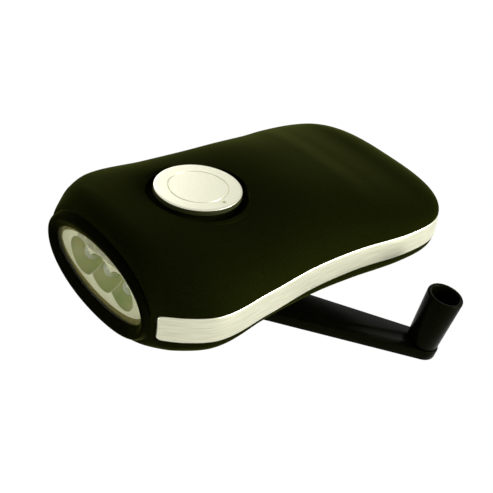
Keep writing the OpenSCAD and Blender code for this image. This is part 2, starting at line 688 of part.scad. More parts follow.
module lower_plate() {
    color(steel) difference() {
        at_belt() translate([0, 0, deck_z - deck_t])
            rounded_plate(-deck_w, deck_w, deck_front, deck_rear, pillar_r, deck_t);
        at_spot(crank_at, deck_z - 5) cylinder(r = crank_shaft_r + 0.6, h = 10);
        for (p = [second_at, third_at]) at_spot(p, deck_z - 5) cylinder(r = gear_pin_r, h = 10);
        for (p = pillars) at_spot(p, deck_z - 5) cylinder(r = plate_screw_r + side_gap, h = 10);
    }
}
module upper_plate() {
    color(steel) difference() {
        at_belt() translate([0, 0, roof_z]) {
            rounded_plate(-deck_w, deck_w, deck_front, deck_rear, pillar_r, deck_t);
            rounded_plate(rotor_at[0] - 6, rotor_at[0] + 6, deck_rear - 8, rotor_at[1] + 5, pillar_r, deck_t);
        }
        for (p = [second_at, third_at]) at_spot(p, roof_z - 1) cylinder(r = gear_pin_r, h = 10);
        at_spot(rotor_at, roof_z - 1) cylinder(r = rotor_shaft_r + run_fit, h = 10);
        for (p = pillars) at_spot(p, roof_z - 1) cylinder(r = plate_screw_r + side_gap, h = 10);
    }
}
module plate_pillars() {
    color(steel) for (p = pillars) at_spot(p, deck_z) tube(pillar_r, plate_screw_r + side_gap, deck_gap);
}
module plate_screws() {
    color(steel) for (p = pillars) at_spot(p, roof_z + deck_t)
        pan_screw(plate_screw_head_r, plate_screw_head_h, plate_screw_r, plate_screw_l);
}

// Involute teeth with a 25 degree pressure angle, stub tips and a little backlash
pressure = 25;
backlash = 0.04;
function involute(r, base) = let (a = acos(min(1, base / r))) tan(a) * 180 / PI - a;
function gear_outline(teeth, turn) =
    let (pitch = gear_module * teeth / 2, base = pitch * cos(pressure))
    let (root = pitch - 1.15 * gear_module, tip = pitch + 0.85 * gear_module, start = max(base, root + 0.05))
    let (half = 90 / teeth - backlash / pitch * 180 / PI + involute(pitch, base))
    let (flank = [[root, half - involute(start, base)], for (r = [start, (start + tip) / 2, tip])
        [r, half - involute(r, base)]])
    [for (k = [0 : teeth - 1]) let (middle = turn + 360 * k / teeth) each concat(
        [for (q = flank) q[0] * heading(middle - q[1])],
        [for (i = [len(flank) - 1 : -1 : 0]) flank[i][0] * heading(middle + flank[i][1])])];
module gear(teeth, turn, z, t) {
    translate([0, 0, z]) linear_extrude(t) polygon(gear_outline(teeth, turn));
}
module crank_gear() {
    color(gear_white) at_spot(crank_at, deck_z) difference() {
        gear(crank_teeth, 0, crank_gear_z, crank_gear_t);
        cylinder(r = crank_spigot_r + 0.01, h = 10);
    }
}
// A wheel and a pinion on one hub between the plates
module cluster(spot, turn, wheel, wheel_z, pinion_foot, pinion_t) {
    color(gear_white) at_spot(spot, deck_z) difference() {
        union() {
            translate([0, 0, side_gap]) cylinder(r = wheel_hub_r, h = deck_gap - 2 * side_gap);
            gear(pinion_teeth, turn, pinion_foot, pinion_t);
            gear(wheel, turn, wheel_z, wheel_t);
        }
        translate([0, 0, -1]) cylinder(r = gear_pin_r + run_fit, h = 20);
    }
}
module second_gear() {
    cluster(second_at, second_turn, second_teeth, second_wheel_z, pinion_z, second_wheel_z - pinion_z + 0.2);
}
module third_gear() {
    cluster(third_at, third_turn, third_teeth, third_wheel_z, third_pinion_z,
        third_wheel_z - third_pinion_z + 0.2);
}
module gear_pin(spot) {
    color(steel) at_spot(spot, deck_z - deck_t) cylinder(r = gear_pin_r, h = deck_gap + 2 * deck_t);
}
module second_pin() { gear_pin(second_at); }
module third_pin() { gear_pin(third_at); }

module rotor() {
    color([0.25, 0.25, 0.27]) at_spot(rotor_at) {
        translate([0, 0, stator_z + side_gap])
            cylinder(r = rotor_shaft_r, h = roof_z + deck_t - stator_z - side_gap);
        translate([0, 0, stator_z + stator_base_t + 0.6]) cylinder(r = rotor_r, h = stator_h - 1);
        translate([0, 0, stator_z + stator_base_t + stator_h - 1])
            cylinder(r = 1.5, h = deck_z + rotor_pinion_z - stator_z - stator_base_t - stator_h + 1.2);
        translate([0, 0, deck_z]) gear(rotor_teeth, rotor_turn, rotor_pinion_z, wheel_t + 0.4);
    }
}
module stator_base() {
    color(steel) at_spot(rotor_at, stator_z) tube(stator_r, rotor_shaft_r + run_fit, stator_base_t);
}
module stator_core() {
    color([0.45, 0.45, 0.46]) at_spot(rotor_at, stator_z + stator_base_t) rotate_extrude() polygon([
        [stator_bore, 0], [stator_r, 0], [stator_r, stator_h], [stator_bore, stator_h],
        [stator_bore, stator_h - stator_rim], [stator_r - stator_rim, stator_h - stator_rim],
        [stator_r - stator_rim, stator_rim], [stator_bore, stator_rim]
    ]);
}
module stator_coil() {
    color([0.72, 0.4, 0.2]) at_spot(rotor_at, stator_z + stator_base_t + stator_rim)
        tube(stator_r - stator_rim, stator_bore + 0.2, stator_h - 2 * stator_rim);
}

module crank_bush() {
    color([0.75, 0.6, 0.3]) at_spot(crank_at, boss_z) tube(bush_r, crank_shaft_r + run_fit, bush_l);
}
module crank_hub() {
    seat_z = deck_z + crank_gear_z;
    color(gloss_black) at_crank() difference() {
        union() {
            translate([0, 0, hub_disc_z]) cylinder(r = hub_disc_r, h = hub_disc_t);
            translate([0, 0, hub_disc_z]) cylinder(r = crank_shaft_r, h = seat_z - hub_disc_z);
            translate([0, 0, seat_z - 1]) cylinder(r = crank_spigot_r, h = crank_gear_t + 0.9);
            rotate([0, 0, crank_turn]) for (s = [-1, 1])
                translate([hinge_out, s * (arm_root_w - cheek_t) / 2 - cheek_t / 2, 0]) {
                    translate([0, 0, hinge_z]) rotate([-90, 0, 0]) cylinder(r = cheek_r, h = cheek_t);
                    translate([-cheek_r, 0, hinge_z]) cube([2 * cheek_r, cheek_t, hub_disc_z - hinge_z + 0.5]);
                }
        }
        translate([0, 0, seat_z - 6]) cylinder(r = hub_screw_r, h = 20);
        rotate([0, 0, crank_turn]) translate([hinge_out, 0, hinge_z]) rotate([90, 0, 0])
            cylinder(r = hinge_pin_r, h = 40, center = true);
    }
}
module hub_screw() {
    color(steel) at_crank() translate([0, 0, deck_z + crank_gear_z + crank_gear_t])
        pan_screw(hub_screw_head_r, hub_screw_head_h, hub_screw_r, hub_screw_l);
}
module hinge_pin() {
    color(steel) at_arm() rotate([90, 0, 0]) cylinder(r = hinge_pin_r, h = arm_root_w, center = true);
}
module crank_arm() {
    corner = 1.5;
    color(gloss_black) at_arm() difference() {
        union() {
            translate([0, 0, -arm_t / 2]) linear_extrude(arm_t) polygon([
                [tongue_l, -arm_root_w / 2 + corner], [tongue_l + corner, -arm_root_w / 2],
                [knob_at, -arm_tip_w / 2], [knob_at, arm_tip_w / 2],
                [tongue_l + corner, arm_root_w / 2], [tongue_l, arm_root_w / 2 - corner]
            ]);
            translate([knob_at, 0, -arm_t / 2]) cylinder(r = arm_tip_w / 2, h = arm_t);
            translate([0, -tongue_w / 2, -arm_t / 2]) cube([tongue_l + 1, tongue_w, arm_t]);
            rotate([90, 0, 0]) cylinder(r = arm_t / 2, h = tongue_w, center = true);
        }
        rotate([90, 0, 0]) cylinder(r = hinge_pin_r + run_fit, h = 40, center = true);
        translate([knob_at, 0, -arm_t / 2 + 0.6]) cylinder(r = knob_screw_r, h = 10);
    }
}
module knob_screw() {
    color(steel) at_arm() translate([knob_at, 0, arm_t / 2 + knob_gap + knob_floor + side_gap])
        pan_screw(knob_screw_head_r, knob_screw_head_h, knob_screw_r,
            knob_gap + knob_floor + side_gap + arm_t - 0.6);
}
module crank_knob() {
    round_r = 0.5;
    color(gloss_black) at_arm() translate([knob_at, 0, arm_t / 2 + knob_gap]) rotate_extrude() polygon([
        [knob_screw_r + run_fit, 0], [knob_foot_r - 0.3, 0], [knob_foot_r, 0.3],
        [knob_mouth_r, knob_l - knob_gap - round_r], [knob_mouth_r - round_r, knob_l - knob_gap],
        [knob_bore_r + round_r / 2, knob_l - knob_gap], [knob_bore_r, knob_l - knob_gap - round_r],
        [knob_bore_r - 0.3, knob_floor], [knob_screw_r + run_fit, knob_floor]
    ]);
}

// Wires are round rods along hand-set routes with round bends
wire_r = 0.45;
module rod(a, b) {
    d = b - a;
    translate(a) rotate([0, acos(d[2] / norm(d)), atan2(d[1], d[0])]) cylinder(r = wire_r, h = norm(d));
}
module wire(route) {
    for (i = [0 : len(route) - 2]) rod(route[i], route[i + 1]);
    for (i = [1 : len(route) - 2]) translate(route[i]) sphere(r = wire_r * 1.1);
}

function turn_x(p, a) = [p[0], p[1] * cos(a) - p[2] * sin(a), p[1] * sin(a) + p[2] * cos(a)];
function head_point(p) = [0, -nose_y, head_z] + turn_x(p, 90 + head_lean);
function button_point(p) = [0, -button_y, button_z] + turn_x(p, -button_tilt);
board_edge = board_l / 2 - 1.5;
over_cells = cell_z + cell_h + 0.9;
module led_wires() {
    back = led_foot - led_board_t;
    color([0.75, 0.12, 0.1]) at_belt() for (x = [-3, 3]) wire([
        head_point([x, 0, back]), head_point([x, 0, back - 2]),
        button_point([x, -board_edge, -board_top - board_t - 2]),
        button_point([x, -board_edge, -board_top - board_t])
    ]);
}
module dynamo_wires() {
    stator_top = stator_z + stator_base_t + stator_h;
    color([0.85, 0.7, 0.15]) at_belt() for (k = [0, 1]) let (
        spot = rotor_at + [-7.2 - 0.2 * k, 1.4 * (1 - 2 * k)],
        x = -5.7 - 1.5 * k
    ) wire([
        level(spot, stator_top), level(spot, roof_z + deck_t + 1), [x, cell_y + 10, over_cells],
        [x, cell_y - 6, over_cells],
        button_point([x, board_edge, -board_top + 2.6]), button_point([x, board_edge, -board_top])
    ]);
}
module battery_wires() {
    color([0.12, 0.12, 0.13]) at_belt() for (s = [-1, 1]) wire([
        [s * cell_pitch, cell_y - 2, cell_z + cell_h], [s * cell_pitch, cell_y - 2, over_cells],
        [s * 9.4, cell_y - 6, over_cells],
        button_point([s * 9.4, board_edge, -board_top + 2.6]), button_point([s * 9.4, board_edge, -board_top])
    ]);
}

upper_shell();
lower_shell();
trim_left();
trim_right();
shell_screws();
front_bezel();
lens();
reflector();
led_left();
led_centre();
led_right();
led_board();
push_button();
button_clip();
switch_plunger();
power_switch();
main_board();
board_screws();
rectifier();
capacitor();
battery_cells();
battery_cradle();
lower_plate();
upper_plate();
plate_pillars();
plate_screws();
crank_bush();
crank_gear();
second_pin();
second_gear();
third_pin();
third_gear();
rotor();
stator_base();
stator_core();
stator_coil();
crank_hub();
hub_screw();
hinge_pin();
crank_arm();
knob_screw();
crank_knob();
led_wires();
dynamo_wires();
battery_wires();
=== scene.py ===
# %% [markdown]
# # A wind-up torch
#
# The torch is a waisted pebble of black soft-touch plastic with a silver belt. It has an oval head with three
# LEDs, a round silver button on its back and a crank that folds out from underneath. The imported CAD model
# is loaded first, because every piece made here has to sit where its solid sits and move with it.

# %% Load the CAD frame
import json
from math import acos, asin, cos, degrees, exp, hypot, pi, radians, sin, tan

import bpy
from mathutils import Matrix, Vector


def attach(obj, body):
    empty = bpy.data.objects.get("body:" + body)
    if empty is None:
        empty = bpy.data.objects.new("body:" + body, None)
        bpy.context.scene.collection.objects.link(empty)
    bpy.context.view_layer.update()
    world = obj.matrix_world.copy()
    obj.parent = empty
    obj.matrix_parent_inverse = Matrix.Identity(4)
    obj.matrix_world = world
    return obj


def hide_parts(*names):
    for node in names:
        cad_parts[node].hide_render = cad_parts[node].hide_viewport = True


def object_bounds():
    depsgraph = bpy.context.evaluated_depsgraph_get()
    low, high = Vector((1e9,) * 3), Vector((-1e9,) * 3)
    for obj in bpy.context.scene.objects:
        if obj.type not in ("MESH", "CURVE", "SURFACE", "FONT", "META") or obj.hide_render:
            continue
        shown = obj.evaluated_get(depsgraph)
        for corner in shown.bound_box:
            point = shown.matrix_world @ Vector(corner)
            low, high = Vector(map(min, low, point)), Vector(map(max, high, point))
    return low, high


for leftover in ("Cube", "Light", "Camera"):
    if leftover in bpy.data.objects:
        bpy.data.objects.remove(bpy.data.objects[leftover])
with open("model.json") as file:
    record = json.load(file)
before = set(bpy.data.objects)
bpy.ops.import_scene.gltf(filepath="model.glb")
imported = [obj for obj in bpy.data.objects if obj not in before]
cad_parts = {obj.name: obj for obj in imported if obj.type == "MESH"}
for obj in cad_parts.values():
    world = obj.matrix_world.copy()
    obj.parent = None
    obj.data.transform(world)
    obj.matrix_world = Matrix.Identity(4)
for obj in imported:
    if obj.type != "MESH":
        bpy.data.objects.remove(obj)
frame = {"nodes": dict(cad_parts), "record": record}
nodes = frame["nodes"]
cad_low, cad_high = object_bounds()
MM = 0.001
print("CAD box in mm:", [round(d / MM, 1) for d in cad_high - cad_low])

# %% [markdown]
# ## The frames the pieces are made in
#
# The model's origin is the flat under the chin. It is easier to draw the body from its belt line, the button
# from its own face, the head from its front edge and the arm from its hinge, so each gets a matrix. All
# lengths below are millimetres, and a matrix turns them into metres on the way into the mesh.

# %% Frames of the belt, button, head and arm
def moved(x, y, z):
    return Matrix.Translation((x, y, z))

def turned_by(angle, axis):
    return Matrix.Rotation(radians(angle), 4, axis)

button_y, button_z, button_tilt = 17.5, 14.4, 3
nose_y, head_z, head_lean = 45.6, -1.8, 3.9
crank_y, crank_turn, arm_droop, hinge_out, hinge_z = 13, 50, 13.8, 7, -19.65
belt_y, belt_z = 40.5, 17.4
metres = Matrix.Scale(MM, 4)
belt_frame = metres @ moved(0, belt_y, belt_z)
button_frame = belt_frame @ moved(0, -button_y, button_z) @ turned_by(-button_tilt, "X")
head_frame = belt_frame @ moved(0, -nose_y, head_z) @ turned_by(90 + head_lean, "X")
crank_frame = belt_frame @ moved(0, -crank_y, 0) @ turned_by(crank_turn, "Z")
arm_frame = crank_frame @ moved(hinge_out, 0, hinge_z) @ turned_by(arm_droop, "Y")
print("Button middle:", [round(c, 4) for c in button_frame.translation])

# %% [markdown]
# ## Camera
#
# The camera comes first. Its place was worked out from the belt, the oval head and the round button, whose
# true shapes are known, so it looks down on the torch from its right front with a short telephoto lens.

# %% Camera at the photograph's viewpoint
azimuth, elevation, roll_angle, distance = radians(49.15), radians(33.37), radians(5.45), 330.9
back = Vector((sin(azimuth) * cos(elevation), -cos(azimuth) * cos(elevation), sin(elevation)))
level_right = Vector((cos(azimuth), sin(azimuth), 0))
level_up = back.cross(level_right)
right = cos(roll_angle) * level_right + sin(roll_angle) * level_up
up = cos(roll_angle) * level_up - sin(roll_angle) * level_right
place = belt_frame @ (back * distance)
bpy.ops.object.camera_add(location=place)
camera = bpy.context.object
camera.name = "photo_camera"
camera.matrix_world = Matrix.Translation(place) @ Matrix((right, up, back)).transposed().to_4x4()
camera.data.sensor_width = 36
camera.data.lens = 89.7
camera.data.shift_x = -0.0023
camera.data.shift_y = -0.0662
camera.data.clip_start = 0.01
bpy.context.scene.camera = camera
print("Camera stands", round(distance), "mm from the body's middle")

# %% [markdown]
# ## Background
#
# The torch stands in a white room. A plain white world would flood the dark plastic with light, so the world
# is white only for what the camera, a reflection or the clear lens sees, and dim for everything else. The
# Light Path node tells these rays apart.

# %% White room
scene = bpy.context.scene
scene.view_settings.view_transform = "Standard"

def seen_directly(tree):
    """A mask of the rays that show the background: from the camera, from a reflection or through glass."""
    path = tree.nodes.new("ShaderNodeLightPath")
    first = tree.nodes.new("ShaderNodeMath")
    first.operation = "MAXIMUM"
    second = tree.nodes.new("ShaderNodeMath")
    second.operation = "MAXIMUM"
    tree.links.new(path.outputs["Is Camera Ray"], first.inputs[0])
    tree.links.new(path.outputs["Is Glossy Ray"], first.inputs[1])
    tree.links.new(first.outputs[0], second.inputs[0])
    tree.links.new(path.outputs["Is Transmission Ray"], second.inputs[1])
    return second.outputs[0]

room_fill, room_white = 0.05, 1
world = bpy.data.worlds.new("white_room")
scene.world = world
world.use_nodes = True
tree = world.node_tree
dim = tree.nodes["Background"]
dim.inputs["Color"].default_value = (1, 1, 1, 1)
dim.inputs["Strength"].default_value = room_fill
bright = tree.nodes.new("ShaderNodeBackground")
bright.inputs["Color"].default_value = (1, 1, 1, 1)
bright.inputs["Strength"].default_value = room_white
choose = tree.nodes.new("ShaderNodeMixShader")
tree.links.new(seen_directly(tree), choose.inputs["Fac"])
tree.links.new(dim.outputs[0], choose.inputs[1])
tree.links.new(bright.outputs[0], choose.inputs[2])
tree.links.new(choose.outputs[0], tree.nodes["World Output"].inputs["Surface"])
print("World:", world.name)

# %% [markdown]
# ## Floor
#
# A paper sweep would curve up behind the object. A large flat plane does the same here, because the camera
# looks down and never sees its edge. It glows white for the same rays as the world, apart from a small share
# of plain paper. For all other rays it is paper only, which sends lamp light back up to the belly.

# %% Floor
floor_gap, floor_size, paper_white, glow_strength, glow_share = 0.2, 6, 0.85, 1.03, 0.97
bpy.ops.mesh.primitive_plane_add(size=floor_size, location=(0, 0, cad_low.z - floor_gap * MM))
floor = bpy.context.object
floor.name = "floor"
bpy.ops.object.transform_apply(location=True)
sweep = bpy.data.materials.new("white_sweep")
sweep.use_nodes = True
tree = sweep.node_tree
paper = tree.nodes["Principled BSDF"]
paper.inputs["Base Color"].default_value = (paper_white, paper_white, paper_white, 1)
paper.inputs["Roughness"].default_value = 0.9
glow = tree.nodes.new("ShaderNodeEmission")
glow.inputs["Strength"].default_value = glow_strength
share = tree.nodes.new("ShaderNodeMath")
share.operation = "MULTIPLY"
share.inputs[1].default_value = glow_share
choose = tree.nodes.new("ShaderNodeMixShader")
tree.links.new(seen_directly(tree), share.inputs[0])
tree.links.new(share.outputs[0], choose.inputs["Fac"])
tree.links.new(paper.outputs[0], choose.inputs[1])
tree.links.new(glow.outputs[0], choose.inputs[2])
tree.links.new(choose.outputs[0], tree.nodes["Material Output"].inputs["Surface"])
floor.data.materials.append(sweep)
print("Floor lies", floor_gap, "mm under the torch")

# %% [markdown]
# ## Lamps
#
# Softboxes give the broad, soft light of a product picture. A strong one stands low on the right, towards
# the tail, and lights the belt and the near edge. A weaker one on the left lights the far edge of the back,
# and a low one in front reaches into the head.

# %% Softboxes
def softbox(name, spot, target, size, watts):
    bpy.ops.object.light_add(type="AREA", location=spot)
    lamp = bpy.context.object
    lamp.name = name
    lamp.data.size = size
    lamp.data.energy = watts
    lamp.rotation_euler = (Vector(target) - Vector(spot)).to_track_quat("-Z", "Y").to_euler()

middle = (0, 0.04, 0.01)
softbox("right_softbox", (0.48, 0.4, 0.08), middle, 0.45, 5.6)
softbox("left_softbox", (-0.55, 0.2, 0.2), middle, 0.4, 1.3)
softbox("low_front_softbox", (-0.2, -0.6, 0.06), middle, 0.3, 1.4)
print("Three softboxes placed")

# %% [markdown]
# ## Small steps
#
# An operator acts on everything that is selected, so each small step here selects one piece first. Places
# are set with a matrix and then applied, so that a finished piece sits at the origin with its place in its
# mesh. Doubles are merged before the normals are made to point outwards.

# %% Small steps of modelling
def only(piece):
    bpy.ops.object.select_all(action="DESELECT")
    piece.select_set(True)
    bpy.context.view_layer.objects.active = piece

def named(name):
    piece = bpy.context.object
    piece.name = name
    piece.data.name = name
    return piece

def put(piece, matrix):
    piece.matrix_world = matrix
    only(piece)
    bpy.ops.object.transform_apply(location=True, rotation=True, scale=True)
    return piece

def edit(piece):
    only(piece)
    bpy.ops.object.mode_set(mode="EDIT")
    bpy.ops.mesh.select_all(action="SELECT")

def done():
    bpy.ops.object.mode_set(mode="OBJECT")

def apply(piece, kind, **settings):
    only(piece)
    modifier = piece.modifiers.new(kind.lower(), kind)
    for key, value in settings.items():
        setattr(modifier, key, value)
    bpy.ops.object.modifier_apply(modifier=modifier.name)

def merged(piece, distance=0.002):
    edit(piece)
    bpy.ops.mesh.remove_doubles(threshold=distance * MM)
    bpy.ops.mesh.normals_make_consistent(inside=False)
    done()
    return piece

def capped(piece):
    edit(piece)
    bpy.ops.mesh.select_all(action="DESELECT")
    bpy.ops.mesh.select_non_manifold()
    bpy.ops.mesh.fill_holes(sides=0)
    bpy.ops.mesh.select_all(action="SELECT")
    bpy.ops.mesh.normals_make_consistent(inside=False)
    done()
    return piece

print("Small steps ready")

# %% [markdown]
# ## Ways of making a shape
#
# Four ways of working cover the torch. A lofted piece starts as a grid that is pulled onto a curved surface,
# because extruding and scaling by eye can't give a smooth body. A turned piece starts as a circle that is
# extruded and scaled ring by ring. Holes and bosses are cut and added with booleans. Small pressed or
# moulded solids keep their CAD shape and only get their edges softened.

# %% Lofting, turning, cutting and softening
def lofted(name, rows, columns, point):
    """A grid of rows along the piece and columns across it, each corner put at point(along, across)."""
    only(floor)
    bpy.ops.mesh.primitive_grid_add(x_subdivisions=rows, y_subdivisions=columns, size=2)
    piece = named(name)
    for vertex in piece.data.vertices:
        vertex.co = point((vertex.co.x + 1) / 2, (vertex.co.y + 1) / 2)
    return piece

def turned(name, profile, steps=64, ring=False):
    """A lathe piece on the z axis, from (radius, height) pairs. A ring joins its last pair to its first."""
    only(floor)
    radius, height = profile[0]
    bpy.ops.mesh.primitive_circle_add(
        vertices=steps, radius=radius, location=(0, 0, height), fill_type="NOTHING")
    piece = named(name)
    bpy.ops.object.transform_apply(location=True)
    edit(piece)
    for new_radius, new_height in profile[1:]:
        lift = {"value": (0, 0, new_height - height)}
        bpy.ops.mesh.extrude_region_move(TRANSFORM_OT_translate=lift)
        grow = new_radius / radius
        bpy.ops.transform.resize(value=(grow, grow, 1), center_override=(0, 0, new_height))
        radius, height = new_radius, new_height
    if ring:
        bpy.ops.mesh.select_all(action="DESELECT")
        bpy.ops.mesh.select_non_manifold()
        bpy.ops.mesh.bridge_edge_loops()
        bpy.ops.mesh.select_all(action="SELECT")
        bpy.ops.mesh.normals_make_consistent(inside=False)
        done()
        return piece
    done()
    return capped(piece)

def rod(radius, low, high, x=0, y=0, steps=48):
    """A plain cylinder to cut or add with."""
    bar = turned("rod", [(radius, low), (radius, high)], steps)
    return put(bar, moved(x, y, 0))

def combine(piece, tool, operation):
    apply(piece, "BOOLEAN", object=tool, operation=operation, solver="EXACT")
    bpy.data.objects.remove(tool)

def smooth(piece, angle=35):
    only(piece)
    bpy.ops.object.shade_smooth_by_angle(angle=radians(angle))
    return piece

def duplicate(piece, name):
    """A copy with a mesh of its own."""
    twin = piece.copy()
    twin.data = piece.data.copy()
    twin.name = twin.data.name = name
    bpy.context.scene.collection.objects.link(twin)
    return twin

def softened(name, node, width, angle=30):
    """A copy of a CAD solid with its edges rounded."""
    piece = duplicate(nodes[node], name)
    edit(piece)
    bpy.ops.mesh.remove_doubles(threshold=0.001 * MM)
    bpy.ops.mesh.dissolve_limited(angle_limit=radians(1))
    done()
    apply(piece, "BEVEL", width=width * MM, segments=2, limit_method="ANGLE", angle_limit=radians(angle))
    return smooth(piece)

def seat(piece, body, node, material):
    """Gives a finished piece its material, and its place in the moving model."""
    piece.data.materials.clear()
    piece.data.materials.append(material)
    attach(piece, body)
    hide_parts(node)

print("Shape makers ready")

# %% [markdown]
# ## Shared surface effects
#
# Moulded plastic and paint are never perfectly even. One node group makes a fine grain with a bump, and
# another makes faint handling smudges that change the gloss. Each material sets its own scale and strength.
# A grain that is squeezed in height turns into level streaks, which is what brushing leaves on the belt.

# %% Node groups for grain and smudges
def new_group(name, inputs, outputs):
    group = bpy.data.node_groups.new(name, "ShaderNodeTree")
    for label, value in inputs:
        socket = group.interface.new_socket(label, in_out="INPUT", socket_type="NodeSocketFloat")
        socket.default_value = value
    for label, kind in outputs:
        group.interface.new_socket(label, in_out="OUTPUT", socket_type=kind)
    start = group.nodes.new("NodeGroupInput")
    end = group.nodes.new("NodeGroupOutput")
    spot = group.nodes.new("ShaderNodeTexCoord")
    return group, start, end, spot.outputs["Object"]

group, start, end, spot = new_group(
    "moulded_grain", [("Scale", 4000), ("Depth", 0.1), ("Streak", 1)],
    [("Height", "NodeSocketFloat"), ("Normal", "NodeSocketVector")])
noise = group.nodes.new("ShaderNodeTexNoise")
noise.inputs["Detail"].default_value = 2
upright = group.nodes.new("ShaderNodeCombineXYZ")
upright.inputs["X"].default_value = 1
upright.inputs["Y"].default_value = 1
squeeze = group.nodes.new("ShaderNodeVectorMath")
squeeze.operation = "MULTIPLY"
bump = group.nodes.new("ShaderNodeBump")
bump.inputs["Distance"].default_value = 0.0001
group.links.new(start.outputs["Streak"], upright.inputs["Z"])
group.links.new(spot, squeeze.inputs[0])
group.links.new(upright.outputs["Vector"], squeeze.inputs[1])
group.links.new(squeeze.outputs["Vector"], noise.inputs["Vector"])
group.links.new(start.outputs["Scale"], noise.inputs["Scale"])
group.links.new(noise.outputs["Fac"], bump.inputs["Height"])
group.links.new(start.outputs["Depth"], bump.inputs["Strength"])
group.links.new(noise.outputs["Fac"], end.inputs["Height"])
group.links.new(bump.outputs["Normal"], end.inputs["Normal"])
moulded_grain = group

group, start, end, spot = new_group(
    "handling_smudges", [("Scale", 60), ("Low", 0.3), ("High", 0.5)], [("Roughness", "NodeSocketFloat")])
noise = group.nodes.new("ShaderNodeTexNoise")
noise.inputs["Detail"].default_value = 6
noise.inputs["Distortion"].default_value = 0.4
spread = group.nodes.new("ShaderNodeMapRange")
spread.inputs["From Min"].default_value = 0.3
spread.inputs["From Max"].default_value = 0.7
group.links.new(spot, noise.inputs["Vector"])
group.links.new(start.outputs["Scale"], noise.inputs["Scale"])
group.links.new(noise.outputs["Fac"], spread.inputs["Value"])
group.links.new(start.outputs["Low"], spread.inputs["To Min"])
group.links.new(start.outputs["High"], spread.inputs["To Max"])
group.links.new(spread.outputs["Result"], end.inputs["Roughness"])
handling_smudges = group
print("Groups:", moulded_grain.name, handling_smudges.name)

# %% [markdown]
# ## A maker of materials
#
# Every finish of the torch is the same set of nodes with other values: a grain that moves between two
# colours and makes the bump, and smudges that move the roughness between two values. So one function builds
# them all, and sockets that a finish needs besides are passed by name.

# %% Material maker
def finish(name, dark, light, rough, grain=(4000, 0.1), streak=1, metallic=0.0, **extra):
    """A principled material whose colour, gloss and bump vary a little over the surface."""
    material = bpy.data.materials.new(name)
    material.use_nodes = True
    tree = material.node_tree
    shader = tree.nodes["Principled BSDF"]
    fine = tree.nodes.new("ShaderNodeGroup")
    fine.node_tree = moulded_grain
    fine.inputs["Scale"].default_value, fine.inputs["Depth"].default_value = grain
    fine.inputs["Streak"].default_value = streak
    smudges = tree.nodes.new("ShaderNodeGroup")
    smudges.node_tree = handling_smudges
    smudges.inputs["Scale"].default_value = 60
    smudges.inputs["Low"].default_value, smudges.inputs["High"].default_value = rough
    tint = tree.nodes.new("ShaderNodeValToRGB")
    tint.color_ramp.elements[0].position, tint.color_ramp.elements[1].position = 0.35, 0.65
    tint.color_ramp.elements[0].color = (*dark, 1)
    tint.color_ramp.elements[1].color = (*light, 1)
    tree.links.new(fine.outputs["Height"], tint.inputs["Fac"])
    tree.links.new(tint.outputs["Color"], shader.inputs["Base Color"])
    tree.links.new(fine.outputs["Normal"], shader.inputs["Normal"])
    tree.links.new(smudges.outputs["Roughness"], shader.inputs["Roughness"])
    shader.inputs["Metallic"].default_value = metallic
    for socket, value in extra.items():
        shader.inputs[socket.replace("_", " ")].default_value = value
    return material

print("Material maker ready")

# %% [markdown]
# ## Finishes
#
# Most of the torch is black. The shells and the bezel are matt and turn lighter where they are seen at a low
# angle, which a little sheen gives without a grey shine. The crank is glossier. All of them are a very dark
# olive rather than a neutral black. The belt and the button are plastic with a satin silver paint, whose
# flakes are a tiny grain in the colour. The reflector has a cream plate, olive cups and a tan border.

# %% Outer finishes
soft_touch = finish(
    "soft_touch_black", (0.0083, 0.0105, 0.0011), (0.0122, 0.0153, 0.0018), (0.5, 0.62), (2600, 0.1),
    Specular_IOR_Level=0.0, Sheen_Weight=0.2, Sheen_Roughness=0.3, Sheen_Tint=(0.75, 0.85, 0.2, 1))
gloss_black = finish(
    "gloss_black", (0.002, 0.0026, 0.0006), (0.0032, 0.004, 0.001), (0.22, 0.32), (900, 0.02),
    Specular_IOR_Level=0.025, Specular_Tint=(0.9, 0.9, 0.3, 1))
bezel_black = finish(
    "bezel_black", (0.0038, 0.0043, 0.0008), (0.005, 0.0056, 0.0011), (0.4, 0.5), (900, 0.02),
    Specular_IOR_Level=0.0, Sheen_Weight=0.25, Sheen_Roughness=0.3, Sheen_Tint=(0.8, 0.85, 0.2, 1))
satin_silver = finish(
    "satin_silver", (0.66, 0.65, 0.49), (0.8, 0.79, 0.62), (0.3, 0.4), (7000, 0.05), metallic=0.75)
brushed_silver = finish(
    "brushed_silver", (0.66, 0.66, 0.48), (0.8, 0.79, 0.6), (0.3, 0.42), (140, 0.1), streak=30,
    metallic=0.75)
cream_plate = finish(
    "cream_plate", (0.84, 0.85, 0.5), (0.9, 0.91, 0.56), (0.35, 0.45), (300, 0.02), metallic=0.15)
olive_cup = finish(
    "olive_cup", (0.46, 0.6, 0.19), (0.72, 0.68, 0.34), (0.3, 0.42), (160, 0.05), metallic=0.4)
dark_button_side = finish(
    "dark_button_side", (0.03, 0.034, 0.008), (0.045, 0.05, 0.012), (0.4, 0.55), Specular_IOR_Level=0.15)
tan_border = finish(
    "tan_border", (0.2, 0.175, 0.02), (0.25, 0.22, 0.03), (0.45, 0.6), (900, 0.05),
    Specular_IOR_Level=0.1)
clear_lens = finish(
    "clear_lens", (0.8, 0.84, 0.5), (0.86, 0.9, 0.56), (0.03, 0.06), (60, 0.0), Alpha=0.05)
led_epoxy = finish(
    "led_epoxy", (0.74, 0.8, 0.5), (0.8, 0.86, 0.56), (0.05, 0.1), (200, 0.01),
    Transmission_Weight=0.4, IOR=1.5)
print("Black, silver and clear finishes made")

# %% [markdown]
# ## Outline of the body
#
# From above the torch is a smooth curve from the narrow nose over the shoulders and the waist to the hips,
# closed by a round tail. The curve runs through a few knots, as a spline by hand would, and the tail is a
# squarish quarter of an oval. The front edge of the shells wraps a little way round the foot of the bezel.

